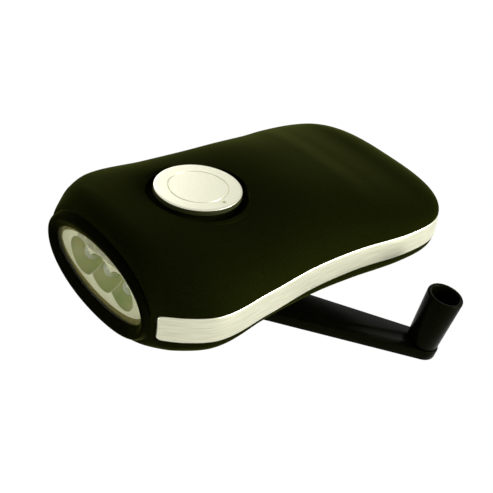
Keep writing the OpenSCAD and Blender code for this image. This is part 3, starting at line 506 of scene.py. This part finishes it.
# %% Outline of the body
tail_y, roll_y, hip_y, hip_w, tail_power, crown_power = 52.9, 40.5, 32.4, 30.3, 2.98, 2.5
bezel_w, bezel_h, bezel_power, opening_w, opening_h = 22.7, 13.7, 2.2, 19.8, 9.4
spigot_f, shell_wall, body_rows = 0.5, 1.3, 150
half_width = [(-nose_y, 24.3), (-33.1, 31.8), (-16.6, 30.6), (0, 28.5), (15.6, 28.5), (hip_y, hip_w)]
crown_height = [(-45.1, 15), (-18.4, 12.8), (4.6, 12.8), (22.1, 10.1), (31, 7.8), (43, 5.7)]
belly_depth = [(-nose_y, 8.2), (-33, 9.2), (-13, 7.9), (2, 6.6), (14, 7.2), (27, 9.4)]
belly_power = [(-nose_y, 2.3), (-33, 2.2), (-13, 2), (2, 2.8), (14, 2.9), (27, 2.2)]
foot_start, foot_length, lip, nose_lap, trim_seat = 9.2, 36.8, 0.3, 0.2, 1.3
roll_share, side_share = 0.16, 0.7
outline_step, tiny, slack = 0.002, 1e-9, 1e-6
nose_wrap = 1.2
edge_y = nose_y + nose_wrap

def mix(a, b, t):
    return a + (b - a) * t

def curve(knots, x):
    """A smooth curve through the knots, level at the last one."""
    end = len(knots) - 1
    i = 0
    while i < end - 1 and x > knots[i + 1][0]:
        i += 1
    def slope(k):
        if k == end:
            return 0
        before = max(k - 1, 0)
        return (knots[k + 1][1] - knots[before][1]) / (knots[k + 1][0] - knots[before][0])
    (x0, a), (x1, b) = knots[i], knots[i + 1]
    t = (min(x, knots[end][0]) - x0) / (x1 - x0)
    p, q = slope(i) * (x1 - x0), slope(i + 1) * (x1 - x0)
    return ((2 * t**3 - 3 * t**2 + 1) * a + (t**3 - 2 * t**2 + t) * p
            + (3 * t**2 - 2 * t**3) * b + (t**3 - t**2) * q)

def power_cos(angle, power):
    c = cos(radians(angle))
    return max(abs(c), tiny) ** (2 / power) * (1 if c >= 0 else -1)

def power_sin(angle, power):
    s = sin(radians(angle))
    return max(abs(s), tiny) ** (2 / power) * (1 if s >= 0 else -1)

def outline(t):
    """Half-width, place along the body and share of the nose roll, from the nose at 0 to the tail at 1."""
    if t < roll_share:
        angle = pi / 2 * (1 - t / roll_share)
        y = -roll_y - (edge_y - roll_y) * sin(angle)
        return curve(half_width, y), y, 1 - cos(angle)
    if t < side_share:
        y = mix(-roll_y, hip_y, (t - roll_share) / (side_share - roll_share))
        return curve(half_width, y), y, 0
    angle = 90 * (t - side_share) / (1 - side_share)
    x = hip_w * power_cos(angle, tail_power) if t < 1 else 0
    return x, hip_y + (tail_y - hip_y) * power_sin(angle, tail_power), 0

def inset_outline(t, inset):
    """The same point moved inwards, square to the outline."""
    x, y, roll = outline(t)
    if t >= 1:
        return 0, y - inset, roll
    ahead, behind = outline(min(t + outline_step, 1)), outline(max(t - outline_step, 0))
    way = Vector((ahead[0] - behind[0], ahead[1] - behind[1])).normalized()
    return max(x - way.y * inset, 0), y + way.x * inset, roll

print("Widest place:", round(max(outline(i / 200)[0] for i in range(201)), 1), "mm from the middle")

# %% [markdown]
# ## Ribs of the body
#
# Ribs rise from the outline to a spine along the middle. Round the tail they fan out, so the foot of a rib
# on the spine lags behind its end on the outline. At the nose the ribs roll in to the oval of the head.

# %% Ribs and skins
def foot(y):
    """Place on the spine of the rib that starts at y on the outline."""
    if y < foot_start:
        return y
    return foot_start + foot_length * (1 - exp((foot_start - y) / foot_length))

def nose_angle(z):
    share = min(1, abs(z - head_z) / bezel_h) ** (bezel_power / 2)
    return degrees(asin(share)) * (1 if z > head_z else -1)

def nose_point(angle, y, grow):
    """A point of the leaning oval at the nose, grown outwards by a little."""
    x = (bezel_w + grow) * power_cos(angle, bezel_power)
    z = (bezel_h + grow) * power_sin(angle, bezel_power)
    return Vector((x, y - z * tan(radians(head_lean)), head_z + z))

def mirrored(across):
    """Share of a rib from its edge to the middle plane, and the side that it is on."""
    return (2 * across, 1) if across <= 0.5 else (2 - 2 * across, -1)

def on_side(point, side):
    return belt_frame @ Vector((point.x * side, point.y, point.z))

def upper_point(along, across):
    rise, side = mirrored(across)
    x, y, roll = outline(along)
    foot_y = foot(y)
    c, s = power_cos(90 * rise, crown_power), power_sin(90 * rise, crown_power)
    if rise == 1:
        c = 0
    along_y = mix(foot_y, y, c)
    body = Vector((x * c, along_y, curve(crown_height, along_y) * s))
    nose = nose_point(mix(nose_angle(0), 90, rise), y, nose_lap)
    point = body.lerp(nose, roll)
    if rise == 0:
        point.z = 0
    if rise == 1:
        point.x = 0
    return on_side(point, side)

def skin(name, columns, point, outward, hub=None):
    """A lofted surface facing up (1) or down (-1). A hub gathers one more row at the nose and closes it."""
    extra = 0 if hub is None else 1
    def place(along, across):
        row = round(along * body_rows)
        return hub if row < extra else point((row - extra) / (body_rows - extra), across)
    piece = merged(lofted(name, body_rows, columns, place))
    if sum(face.normal.z * face.area for face in piece.data.polygons) * outward < 0:
        edit(piece)
        bpy.ops.mesh.flip_normals()
        done()
    return piece

def oval(f, angle):
    """A point of the head's oval, from the outer girth at 0 to the lens opening at 1."""
    power = mix(bezel_power, 2, f)
    return Vector((mix(bezel_w, opening_w, f) * power_cos(angle, power),
                   mix(bezel_h, opening_h, f) * power_sin(angle, power), 0))

def oval_rod(f, low, high):
    """A solid with the head's oval as its section, to cut room for the bezel with."""
    def point(along, across):
        return head_frame @ (oval(f, 360 * along) + Vector((0, 0, mix(low, high, across))))
    return capped(merged(lofted("oval_rod", 96, 1, point)))

print("Nose oval:", 2 * bezel_w, "by", 2 * bezel_h, "mm")

# %% [markdown]
# ## Upper shell
#
# The upper shell is one smooth loft with a wall. The button sits in a round moat, so a collar is added
# under the back and the moat is cut into it, which leaves the floor that carries the button's stem. The
# front edge is cut out to the oval of the bezel.

# %% Upper shell
moat_r, moat_wall, moat_floor, moat_t, stem_r = 13.455, 1.4, 3, 1.5, 3
collar_rise, stem_gap, cut_low, cut_high, head_cut = 0.9, 0.03, -9, 8, 3
upper = skin("upper_case", 96, upper_point, 1)
apply(upper, "SOLIDIFY", thickness=shell_wall * MM, offset=-1)
collar = rod(moat_r + moat_wall, -moat_floor - moat_t, -moat_floor + collar_rise, steps=96)
combine(upper, put(collar, button_frame), "UNION")
combine(upper, put(rod(moat_r, -moat_floor, cut_high, steps=96), button_frame), "DIFFERENCE")
combine(upper, put(rod(stem_r + stem_gap, cut_low, 0), button_frame), "DIFFERENCE")
combine(upper, oval_rod(0, 0, head_cut), "DIFFERENCE")
smooth(upper)
seat(upper, "body", "upper_shell", soft_touch)
print("Upper case faces:", len(upper.data.polygons))

# %% [markdown]
# ## Lower shell
#
# Below the belt the shell steps in behind the trim, comes out to a lip and runs under the belly to the
# keel. The arch of the belly is deeper at the chin and at the heel. A round boss carries the crank, pipes
# take the four case screws, and a notch in the tail holds the knob when the crank is stowed.

# %% Outer form of the lower shell
trim_front_h, trim_tail_h, trim_setback, trim_end_gap = 7.8, 6.2, 1.3, 0.2
trim_front_y = edge_y - trim_setback
seat_share, step_share = 0.1, 0.16
chin_w, chin_l, chin_h = 16, 6, 2.6
boss_r, boss_z, boss_h, bush_r, bush_top = 11.8, -16.0, 3.2, 5, -5
case_screws = [(-20.5, -31.5), (20.5, -31.5), (-17.5, 24), (17.5, 24)]
screw_seat_z, pipe_r, screw_hole_r = -5, 3, 2.1
notch_r, notch_wall, notch_y, notch_top = 5.9, 1.2, 49.7, -0.8

def trim_height(y):
    """Height of the belt, which tapers from the nose to the tail."""
    return mix(trim_front_h, trim_tail_h, (y + nose_y) / (tail_y + nose_y))

def lower_point(along, across):
    """The outside below the belt line: down behind the trim, out to the lip and round the belly."""
    run, side = mirrored(across)
    x, y, roll = outline(along)
    drop, foot_y = trim_height(y), foot(y)
    depth_in = trim_seat if y > -trim_front_y - trim_end_gap else lip
    edge = nose_angle(-drop)
    if run < step_share - slack:
        share = min(1, run / seat_share)
        out = 0 if run <= seat_share + slack else (run - seat_share) / (step_share - seat_share)
        px, py, _ = inset_outline(along, mix(depth_in, lip, out))
        body = Vector((px, py, -drop * share))
        nose = nose_point(mix(nose_angle(0), edge, share), y, nose_lap - depth_in * (1 - out))
    else:
        bend = (run - step_share) / (1 - step_share)
        px, py, _ = inset_outline(along, lip)
        power = curve(belly_power, foot_y)
        c, s = power_cos(90 * bend, power), power_sin(90 * bend, power)
        if run == 1:
            c = 0
        body = Vector((px * c, mix(foot_y, py, c), -drop - curve(belly_depth, foot_y) * s))
        nose = nose_point(mix(edge, -90, bend), y, nose_lap)
    point = body.lerp(nose, roll)
    if run == 0:
        point.z = 0
    if run == 1:
        point.x = 0
    return on_side(point, side)

print("Trim height from", trim_front_h, "to", trim_tail_h, "mm")

# %% [markdown]
# ## Walls and holes of the lower shell
#
# A thickness modifier would fold over itself at the step behind the trim. So the hollow is lofted as a solid
# of its own and taken out of the outer form with a boolean. The pipes for the screws and the wall round the
# notch stay, because their rods are taken out of the hollow first.

# %% Lower shell
inside_top, inside_start = 3, 0.05
through_low, through_high, spigot_gap, spigot_room = -25, 9, 0.02, 12

def inside_point(along, across):
    """The hollow of the lower shell, one wall behind the seat of the trim."""
    run, side = mirrored(across)
    t = mix(inside_start, 1, along)
    x, y, roll = outline(t)
    px, py, _ = inset_outline(t, trim_seat + shell_wall)
    fall, bend = min(1, run / step_share), max(0, run - step_share) / (1 - step_share)
    foot_y = foot(y)
    power = curve(belly_power, foot_y)
    c, s = power_cos(90 * bend, power), power_sin(90 * bend, power)
    if run == 1:
        c = 0
    z = mix(inside_top, -trim_height(y), fall) - (curve(belly_depth, foot_y) - shell_wall) * s
    nose = nose_point(mix(nose_angle(inside_top), -90, run), y, -shell_wall)
    point = Vector((px * c, mix(foot_y, py, c), z)).lerp(nose, roll)
    if run == 0:
        point.z = inside_top
    if run == 1:
        point.x = 0
    return on_side(point, side)

nose_hub = belt_frame @ Vector((0, -edge_y + head_z * tan(radians(head_lean)), 0))
inside_hub = belt_frame @ Vector((0, outline(inside_start)[1], inside_top))
lower = capped(skin("lower_case", 100, lower_point, -1, nose_hub))
inside = capped(skin("lower_inside", 60, inside_point, -1, inside_hub))
notch_pipe = rod(notch_r + notch_wall, through_low, through_high, 0, notch_y)
combine(inside, put(notch_pipe, belt_frame), "DIFFERENCE")
for x, y in case_screws:
    combine(inside, put(rod(pipe_r, through_low, through_high, x, y), belt_frame), "DIFFERENCE")
combine(lower, put(rod(boss_r, boss_z, boss_z + boss_h, 0, -crank_y, 96), belt_frame), "UNION")
bpy.ops.mesh.primitive_cube_add(size=1, scale=(chin_w, chin_l, chin_h), location=(0, 0, chin_h / 2))
pad = named("chin_pad")
put(pad, metres @ pad.matrix_world.copy())
apply(pad, "BEVEL", width=chin_h * MM, segments=8, affect="EDGES", limit_method="ANGLE",
      angle_limit=radians(80))
combine(lower, pad, "UNION")
combine(lower, inside, "DIFFERENCE")
combine(lower, oval_rod(spigot_f - spigot_gap, -spigot_room, head_cut), "DIFFERENCE")
combine(lower, oval_rod(0, 0, head_cut), "DIFFERENCE")
combine(lower, put(rod(bush_r, through_low, bush_top, 0, -crank_y), belt_frame), "DIFFERENCE")
combine(lower, put(rod(notch_r, through_low, notch_top, 0, notch_y), belt_frame), "DIFFERENCE")
for x, y in case_screws:
    combine(lower, put(rod(screw_hole_r, through_low, screw_seat_z, x, y), belt_frame), "DIFFERENCE")
smooth(lower)
seat(lower, "body", "lower_shell", soft_touch)
print("Lower case faces:", len(lower.data.polygons))

# %% [markdown]
# ## Trim
#
# Two silver strips run along the sides in a rebate of the lower shell, from beside the head to the notch
# in the tail. Each is a rounded section swept along the outline. The front corners are round, and the top
# edge is rounder than the lower one, so it catches the light.

# %% Trim strips
trim_t, trim_corner, trim_gap = 1.2, 1.2, 0.05
trim_top_r, trim_low_r, trim_bow, notch_space = 0.62, 0.42, 0.06, 1
front_share = 0.05

def corner(ci, cz, start, stop, radius, steps=4):
    """An arc of the section, from one angle to another."""
    angles = [radians(mix(start, stop, k / steps)) for k in range(steps + 1)]
    return [(ci + radius * cos(angle), cz + radius * sin(angle)) for angle in angles]

def trim_section(top, bottom):
    """Depth behind the outline and height, once round the strip."""
    upper_edge = corner(trim_top_r, top - trim_top_r, 90, 180, trim_top_r)
    bowed_face = [(-trim_bow, mix(top, bottom, k / 6)) for k in range(2, 5)]
    lower_edge = corner(trim_low_r, bottom + trim_low_r, 180, 270, trim_low_r)
    return upper_edge + bowed_face + lower_edge + [(trim_t, bottom), (trim_t, top)]

trim_columns = len(trim_section(0, -6))

def along_for(y):
    """Place on the outline, from 0 to 1, of a y in the nose roll."""
    return roll_share * (1 - asin(min(1, (-y - roll_y) / (edge_y - roll_y))) / (pi / 2))

tail_angle = acos(((notch_r + notch_space) / hip_w) ** (tail_power / 2))
trim_end = side_share + (1 - side_share) * tail_angle / (pi / 2)

def trim_point(along, across):
    if along < front_share:
        angle = pi / 2 * along / front_share
        t = along_for(-trim_front_y + trim_corner * (1 - cos(angle)))
        cut = trim_corner * (1 - sin(angle))
    else:
        t = mix(along_for(-trim_front_y + trim_corner), trim_end, (along - front_share) / (1 - front_share))
        cut = 0
    x, y, roll = outline(t)
    section = trim_section(-cut, cut - trim_height(y) + trim_gap)
    depth, z = section[round(across * trim_columns) % trim_columns]
    px, py, _ = inset_outline(t, depth)
    return on_side(Vector((px, py, z)).lerp(nose_point(nose_angle(z), y, nose_lap - depth), roll), 1)

trim = lofted("trim_strip_left", 140, trim_columns, trim_point)
merged(trim)
capped(trim)
smooth(trim, 50)
other = duplicate(trim, "trim_strip_right")
put(other, Matrix.Scale(-1, 4, (1, 0, 0)))
merged(other)
smooth(other, 50)
seat(trim, "body", "trim_left", brushed_silver)
seat(other, "body", "trim_right", brushed_silver)
print("Trim faces:", len(trim.data.polygons))

# %% [markdown]
# ## Bezel
#
# The bezel is a fat oval ring in front of the shells. Its section is swept round the oval while the oval
# itself narrows from the outer girth to the lens opening, so a share f from 0 to 1 says how far in a point of
# the section lies. A torus that is squashed to an oval would be thicker at its ends than at its sides.

# %% Bezel
bezel_out, lens_sink, lip_h, lip_round_h = 3.1, 1.6, 0.3, 0.38
lip_z = bezel_out - lens_sink
bulge = [(0.12, 0), (0, 0.3), (0.03, 0.55), (0.1, 0.77), (0.2, 0.93), (0.33, 1), (0.48, 0.97), (0.65, 0.86),
         (0.82, 0.73), (0.94, 0.64)]
pocket_f, fill_f, spigot_l = 0.7, 0.74, 4

def eased(points, steps):
    """More points on a smooth line through the given ones."""
    line = []
    for i in range(len(points) - 1):
        a, b, c, d = (Vector(points[min(max(k, 0), len(points) - 1)]) for k in range(i - 1, i + 3))
        for k in range(steps):
            t = k / steps
            line.append(0.5 * (2 * b + (c - a) * t + (2 * a - 5 * b + 4 * c - d) * t**2
                               + (3 * b - 3 * c + d - a) * t**3))
    return line + [Vector(points[-1])]

bezel_line = [(p.x, p.y * bezel_out) for p in eased(bulge, 4)]
bezel_line += [(0.99, lip_z + lip_round_h), (1, lip_z + lip_h), (1, lip_z), (pocket_f, lip_z)]
bezel_line += [(pocket_f, -spigot_l), (spigot_f, -spigot_l), (spigot_f, 0)]

def bezel_point(along, across):
    f, z = bezel_line[round(across * len(bezel_line)) % len(bezel_line)]
    return head_frame @ (oval(f, 360 * along) + Vector((0, 0, z)))

bezel = merged(lofted("head_bezel", 128, len(bezel_line), bezel_point))
smooth(bezel, 45)
seat(bezel, "body", "front_bezel", bezel_black)
print("Bezel faces:", len(bezel.data.polygons))

# %% [markdown]
# ## Reflector
#
# Behind the lens lies a cream plate with a tan border and three bowls that overlap. Each bowl is a turned
# parabola. The outsides are added to the plate first and the hollows are cut afterwards, so that where two
# bowls meet they leave a straight ridge. A pale painted highlight along the ridge is put in the material of
# the cups.

# %% Reflector plate with three cups
lens_t, led_pitch, cup_r, cup_depth, cup_wall, led_hole_r, flange_t = 0.8, 9, 5.3, 6.5, 0.8, 2.6, 1.2
reflector_front, border_f, ridge_highlight_w = lip_z - lens_t, 1.36, 0.16
cup_sink, hole_room, lens_room = 0.2, 3, 2
led_places = (("right", -led_pitch), ("centre", 0), ("left", led_pitch))

def plate_point(along, across):
    line = [(fill_f, -flange_t), (fill_f, 0), (border_f, 0)]
    f, z = line[round(across * 2)]
    return head_frame @ (oval(f, 360 * along) + Vector((0, 0, reflector_front + z)))

def bowl(radius, foot_r, depth, over):
    """Half a parabola from its foot up to its rim at 0, and then straight to a given height."""
    steps = 14
    line = [(mix(foot_r, radius, k / steps), -depth * (1 - (k / steps) ** 2)) for k in range(steps + 1)]
    return line + [(radius, over)]

reflector = capped(merged(lofted("reflector_plate", 96, 2, plate_point)))
for _, x in led_places:
    outside = bowl(cup_r + cup_wall, led_hole_r + cup_wall, cup_depth + cup_wall, -cup_sink)
    cup = turned("cup", outside, 64)
    combine(reflector, put(cup, head_frame @ moved(x, 0, reflector_front - cup_sink)), "UNION")
for _, x in led_places:
    hollow = [(led_hole_r, -cup_depth - hole_room)] + bowl(cup_r, led_hole_r, cup_depth, lens_room)
    space = turned("space", hollow, 64)
    combine(reflector, put(space, head_frame @ moved(x, 0, reflector_front)), "DIFFERENCE")
smooth(reflector, 25)
seat(reflector, "body", "reflector", cream_plate)
reflector.data.materials.append(olive_cup)
reflector.data.materials.append(tan_border)
to_head = head_frame.inverted()
inner_w, inner_h = oval(border_f, 0).x, oval(border_f, 90).y
paint_depth = 0.02
for face in reflector.data.polygons:
    spot = to_head @ face.center
    deep = spot.z < reflector_front - paint_depth
    if deep and abs(spot.x) < led_pitch + cup_r and abs(spot.y) < cup_r:
        face.material_index = 1
    elif hypot(spot.x / inner_w, spot.y / inner_h) > 1:
        face.material_index = 2
print("Reflector faces:", len(reflector.data.polygons))

# %% [markdown]
# ## Painted highlights on the ridges between the cups
#
# The sharp edges between the cups are too fine to model, so the highlight they catch is painted in the cup
# finish. Two cups meet halfway between two LEDs, so the distance from that plane, worked out from the Object
# coordinate, picks a thin line of painted highlight.

# %% Painted highlight lines on the ridges in the cup finish
tree = olive_cup.node_tree
spot = tree.nodes.new("ShaderNodeTexCoord")
split = tree.nodes.new("ShaderNodeSeparateXYZ")
tree.links.new(spot.outputs["Object"], split.inputs["Vector"])
last = split.outputs["X"]
ridge_highlight_steps = (
    ("ABSOLUTE", 0), ("SUBTRACT", led_pitch / 2 * MM), ("ABSOLUTE", 0), ("LESS_THAN", ridge_highlight_w * MM))
for operation, value in ridge_highlight_steps:
    step = tree.nodes.new("ShaderNodeMath")
    step.operation = operation
    step.inputs[1].default_value = value
    tree.links.new(last, step.inputs[0])
    last = step.outputs[0]
# The pale colour mixed in here is a painted highlight along the edges between the cups.
painted_ridge_highlight = tree.nodes.new("ShaderNodeMixRGB")
painted_ridge_highlight.inputs["Color2"].default_value = (0.85, 0.88, 0.6, 1)
colour = tree.nodes["Principled BSDF"].inputs["Base Color"]
tree.links.new(last, painted_ridge_highlight.inputs["Fac"])
tree.links.new(colour.links[0].from_socket, painted_ridge_highlight.inputs["Color1"])
tree.links.new(painted_ridge_highlight.outputs["Color"], colour)
print("Ridge width:", 2 * ridge_highlight_w, "mm")

# %% [markdown]
# ## LEDs
#
# Each LED is a 5 mm type: a flange, a short cylinder and a dome. It is turned, because a lathe line gives the
# flange and the dome in one go. The clear resin lets part of the light through and shows the cup behind.

# %% LEDs
led_r, led_h, led_sink, rim_r, rim_edge_r = 2.5, 8.6, 3.2, 2.9, 2.7
led_foot = reflector_front - cup_depth - led_sink
dome = [(led_r * cos(radians(a)), led_h - led_r + led_r * sin(radians(a))) for a in range(0, 90, 10)]
led_rim = [(rim_edge_r, 0), (rim_r, 0.15), (rim_r, 0.85), (rim_edge_r, 1), (led_r, 1.05)]
for label, x in led_places:
    led = put(turned("led_" + label + "_body", led_rim + dome, 48), head_frame @ moved(x, 0, led_foot))
    smooth(led, 40)
    seat(led, "body", "led_" + label, led_epoxy)
print("LED height:", led_h, "mm")

# %% [markdown]
# ## Lens
#
# The lens is a flat clear oval behind the lip of the bezel. It is lofted round the same oval as the bezel, so
# it fits its pocket all round, and its front edge has a small bevel.

# %% Lens
edge_bevel, edge_share = 0.15, 0.04

def lens_point(along, across):
    line = [(fill_f, -lens_t), (fill_f, -edge_bevel), (fill_f + edge_share, 0)]
    f, z = line[round(across * (len(line) - 1))]
    return head_frame @ (oval(f, 360 * along) + Vector((0, 0, lip_z + z)))

lens = capped(merged(lofted("lens_window", 96, 2, lens_point)))
smooth(lens, 30)
seat(lens, "body", "lens", clear_lens)
print("Lens thickness:", lens_t, "mm")

# %% [markdown]
# ## Button
#
# The button is a turned silver cap with a rounded rim, a fine ring cut into its face and a small dimple
# beside the rim. Below the rim the side gets a dark olive finish instead of the silver. The button rides on
# its own body, because it goes down when it is pressed.

# %% Push button
button_r, cap_t, ring_r, ring_d = 11.5, 1.75, 7.82, 0.25
dimple_x, dimple_y, dimple_r, dimple_d = 9.2, 1.3, 0.65, 0.25
stem_l, round_r, hem, flat_edge, middle_r = 5.9, 0.5, 0.25, 0.9, 0.4
rim_angles = [radians(a) for a in range(0, 91, 15)]
rim = [(button_r - round_r + round_r * cos(a), -round_r + round_r * sin(a)) for a in rim_angles]
groove_side = [(0.45, 0), (0.25, 0), (0.17, -0.1), (0.08, -ring_d)]
groove = groove_side + [(-r, z) for r, z in reversed(groove_side)]
top = [(button_r - flat_edge, 0)] + [(ring_r + r, z) for r, z in groove] + [(4, 0), (middle_r, 0)]
under = [(stem_r, -stem_l), (stem_r, -cap_t), (button_r - hem, -cap_t), (button_r, -cap_t + hem)]
cap_line = under + rim + top
button = turned("push_button_cap", cap_line, 96)
combine(button, rod(dimple_r, -dimple_d, 1, dimple_x, dimple_y, 24), "DIFFERENCE")
put(button, button_frame)
smooth(button, 40)
seat(button, "button", "push_button", satin_silver)
button.data.materials.append(dark_button_side)
to_button = button_frame.inverted()
# Side faces below this height and outside this radius take the dark olive finish.
dark_side_top, side_start = -0.3, ring_r + 0.5
for face in button.data.polygons:
    spot = to_button @ face.center
    face.material_index = 1 if spot.z < dark_side_top and spot.xy.length > side_start else 0
print("Button faces:", len(button.data.polygons))

# %% [markdown]
# ## Crank
#
# The arm is a flat tapered lever with rounded edges, and the knob is a hollow sleeve that turns on a screw.
# The arm and the hub keep their CAD shapes with softened edges, and the knob is turned afresh so that its
# lip is round.

# %% Crank arm, hub and knob
knob_at, arm_t, knob_gap = 55.7, 2.9, 0.35
arm = softened("crank_lever", "crank_arm", 0.35)
seat(arm, "arm", "crank_arm", gloss_black)
hub = softened("crank_hub_disc", "crank_hub", 0.2)
seat(hub, "crank", "crank_hub", gloss_black)
screw_r, knob_floor = 1.63, 2.2
knob_outside = [(screw_r, 0), (4.3, 0), (4.52, 0.08), (4.6, 0.3), (5.2, 15.85)]
knob_lip = [(5.16, 16.2), (5.0, 16.45), (4.75, 16.55), (4.4, 16.52), (4.16, 16.38), (4.02, 16.1)]
knob_bore = [(3.7, 2.4), (3.5, knob_floor), (screw_r, knob_floor)]
knob = turned("crank_knob_sleeve", knob_outside + knob_lip + knob_bore, 64, ring=True)
put(knob, arm_frame @ moved(knob_at, 0, arm_t / 2 + knob_gap))
smooth(knob, 40)
seat(knob, "knob", "crank_knob", gloss_black)
print("Crank faces:", len(arm.data.polygons), len(hub.data.polygons), len(knob.data.polygons))

# %% [markdown]
# ## Inside pieces
#
# The gear train, dynamo, boards, cells and wires are shut inside the shells. They keep their CAD shapes
# and get plain honest finishes: moulded white gears, steel plates, green boards, copper and coloured leads.

# %% Finishes for the CAD pieces that stay
inside_finishes = {
    "gear_plastic": finish("white_nylon", (0.8, 0.79, 0.73), (0.86, 0.85, 0.8), (0.45, 0.6)),
    "steel": finish(
        "pressed_steel", (0.52, 0.53, 0.54), (0.6, 0.61, 0.62), (0.25, 0.4), (1500, 0.05), metallic=1.0),
    "board": finish("green_board", (0.03, 0.2, 0.09), (0.05, 0.26, 0.13), (0.25, 0.4), (900, 0.1)),
    "dark_plastic": finish("dark_moulding", (0.03, 0.03, 0.035), (0.05, 0.05, 0.055), (0.35, 0.5)),
    "cell_sleeve": finish("cell_sleeve", (0.1, 0.33, 0.18), (0.14, 0.4, 0.22), (0.2, 0.35), (500, 0.03)),
    "brass": finish(
        "turned_brass", (0.66, 0.5, 0.22), (0.75, 0.58, 0.28), (0.2, 0.35), (1500, 0.05), metallic=1.0),
    "magnet": finish(
        "ground_magnet", (0.12, 0.12, 0.13), (0.18, 0.18, 0.19), (0.3, 0.45), metallic=1.0),
    "copper": finish(
        "enamelled_copper", (0.5, 0.22, 0.08), (0.62, 0.3, 0.12), (0.2, 0.35), (6000, 0.3), metallic=0.8),
    "wire_red": finish("red_sleeve", (0.45, 0.03, 0.02), (0.55, 0.05, 0.03), (0.3, 0.45)),
    "wire_yellow": finish("yellow_sleeve", (0.65, 0.48, 0.05), (0.72, 0.55, 0.08), (0.3, 0.45)),
    "wire_black": finish("black_sleeve", (0.02, 0.02, 0.022), (0.035, 0.035, 0.04), (0.3, 0.45)),
}
slot_of = {entry["node"]: entry["material_slot"] for entry in frame["record"]["subparts"]}
for name, node in nodes.items():
    if slot_of[name] in inside_finishes:
        node.data.materials.clear()
        node.data.materials.append(inside_finishes[slot_of[name]])
print("Inside finishes:", len(inside_finishes))
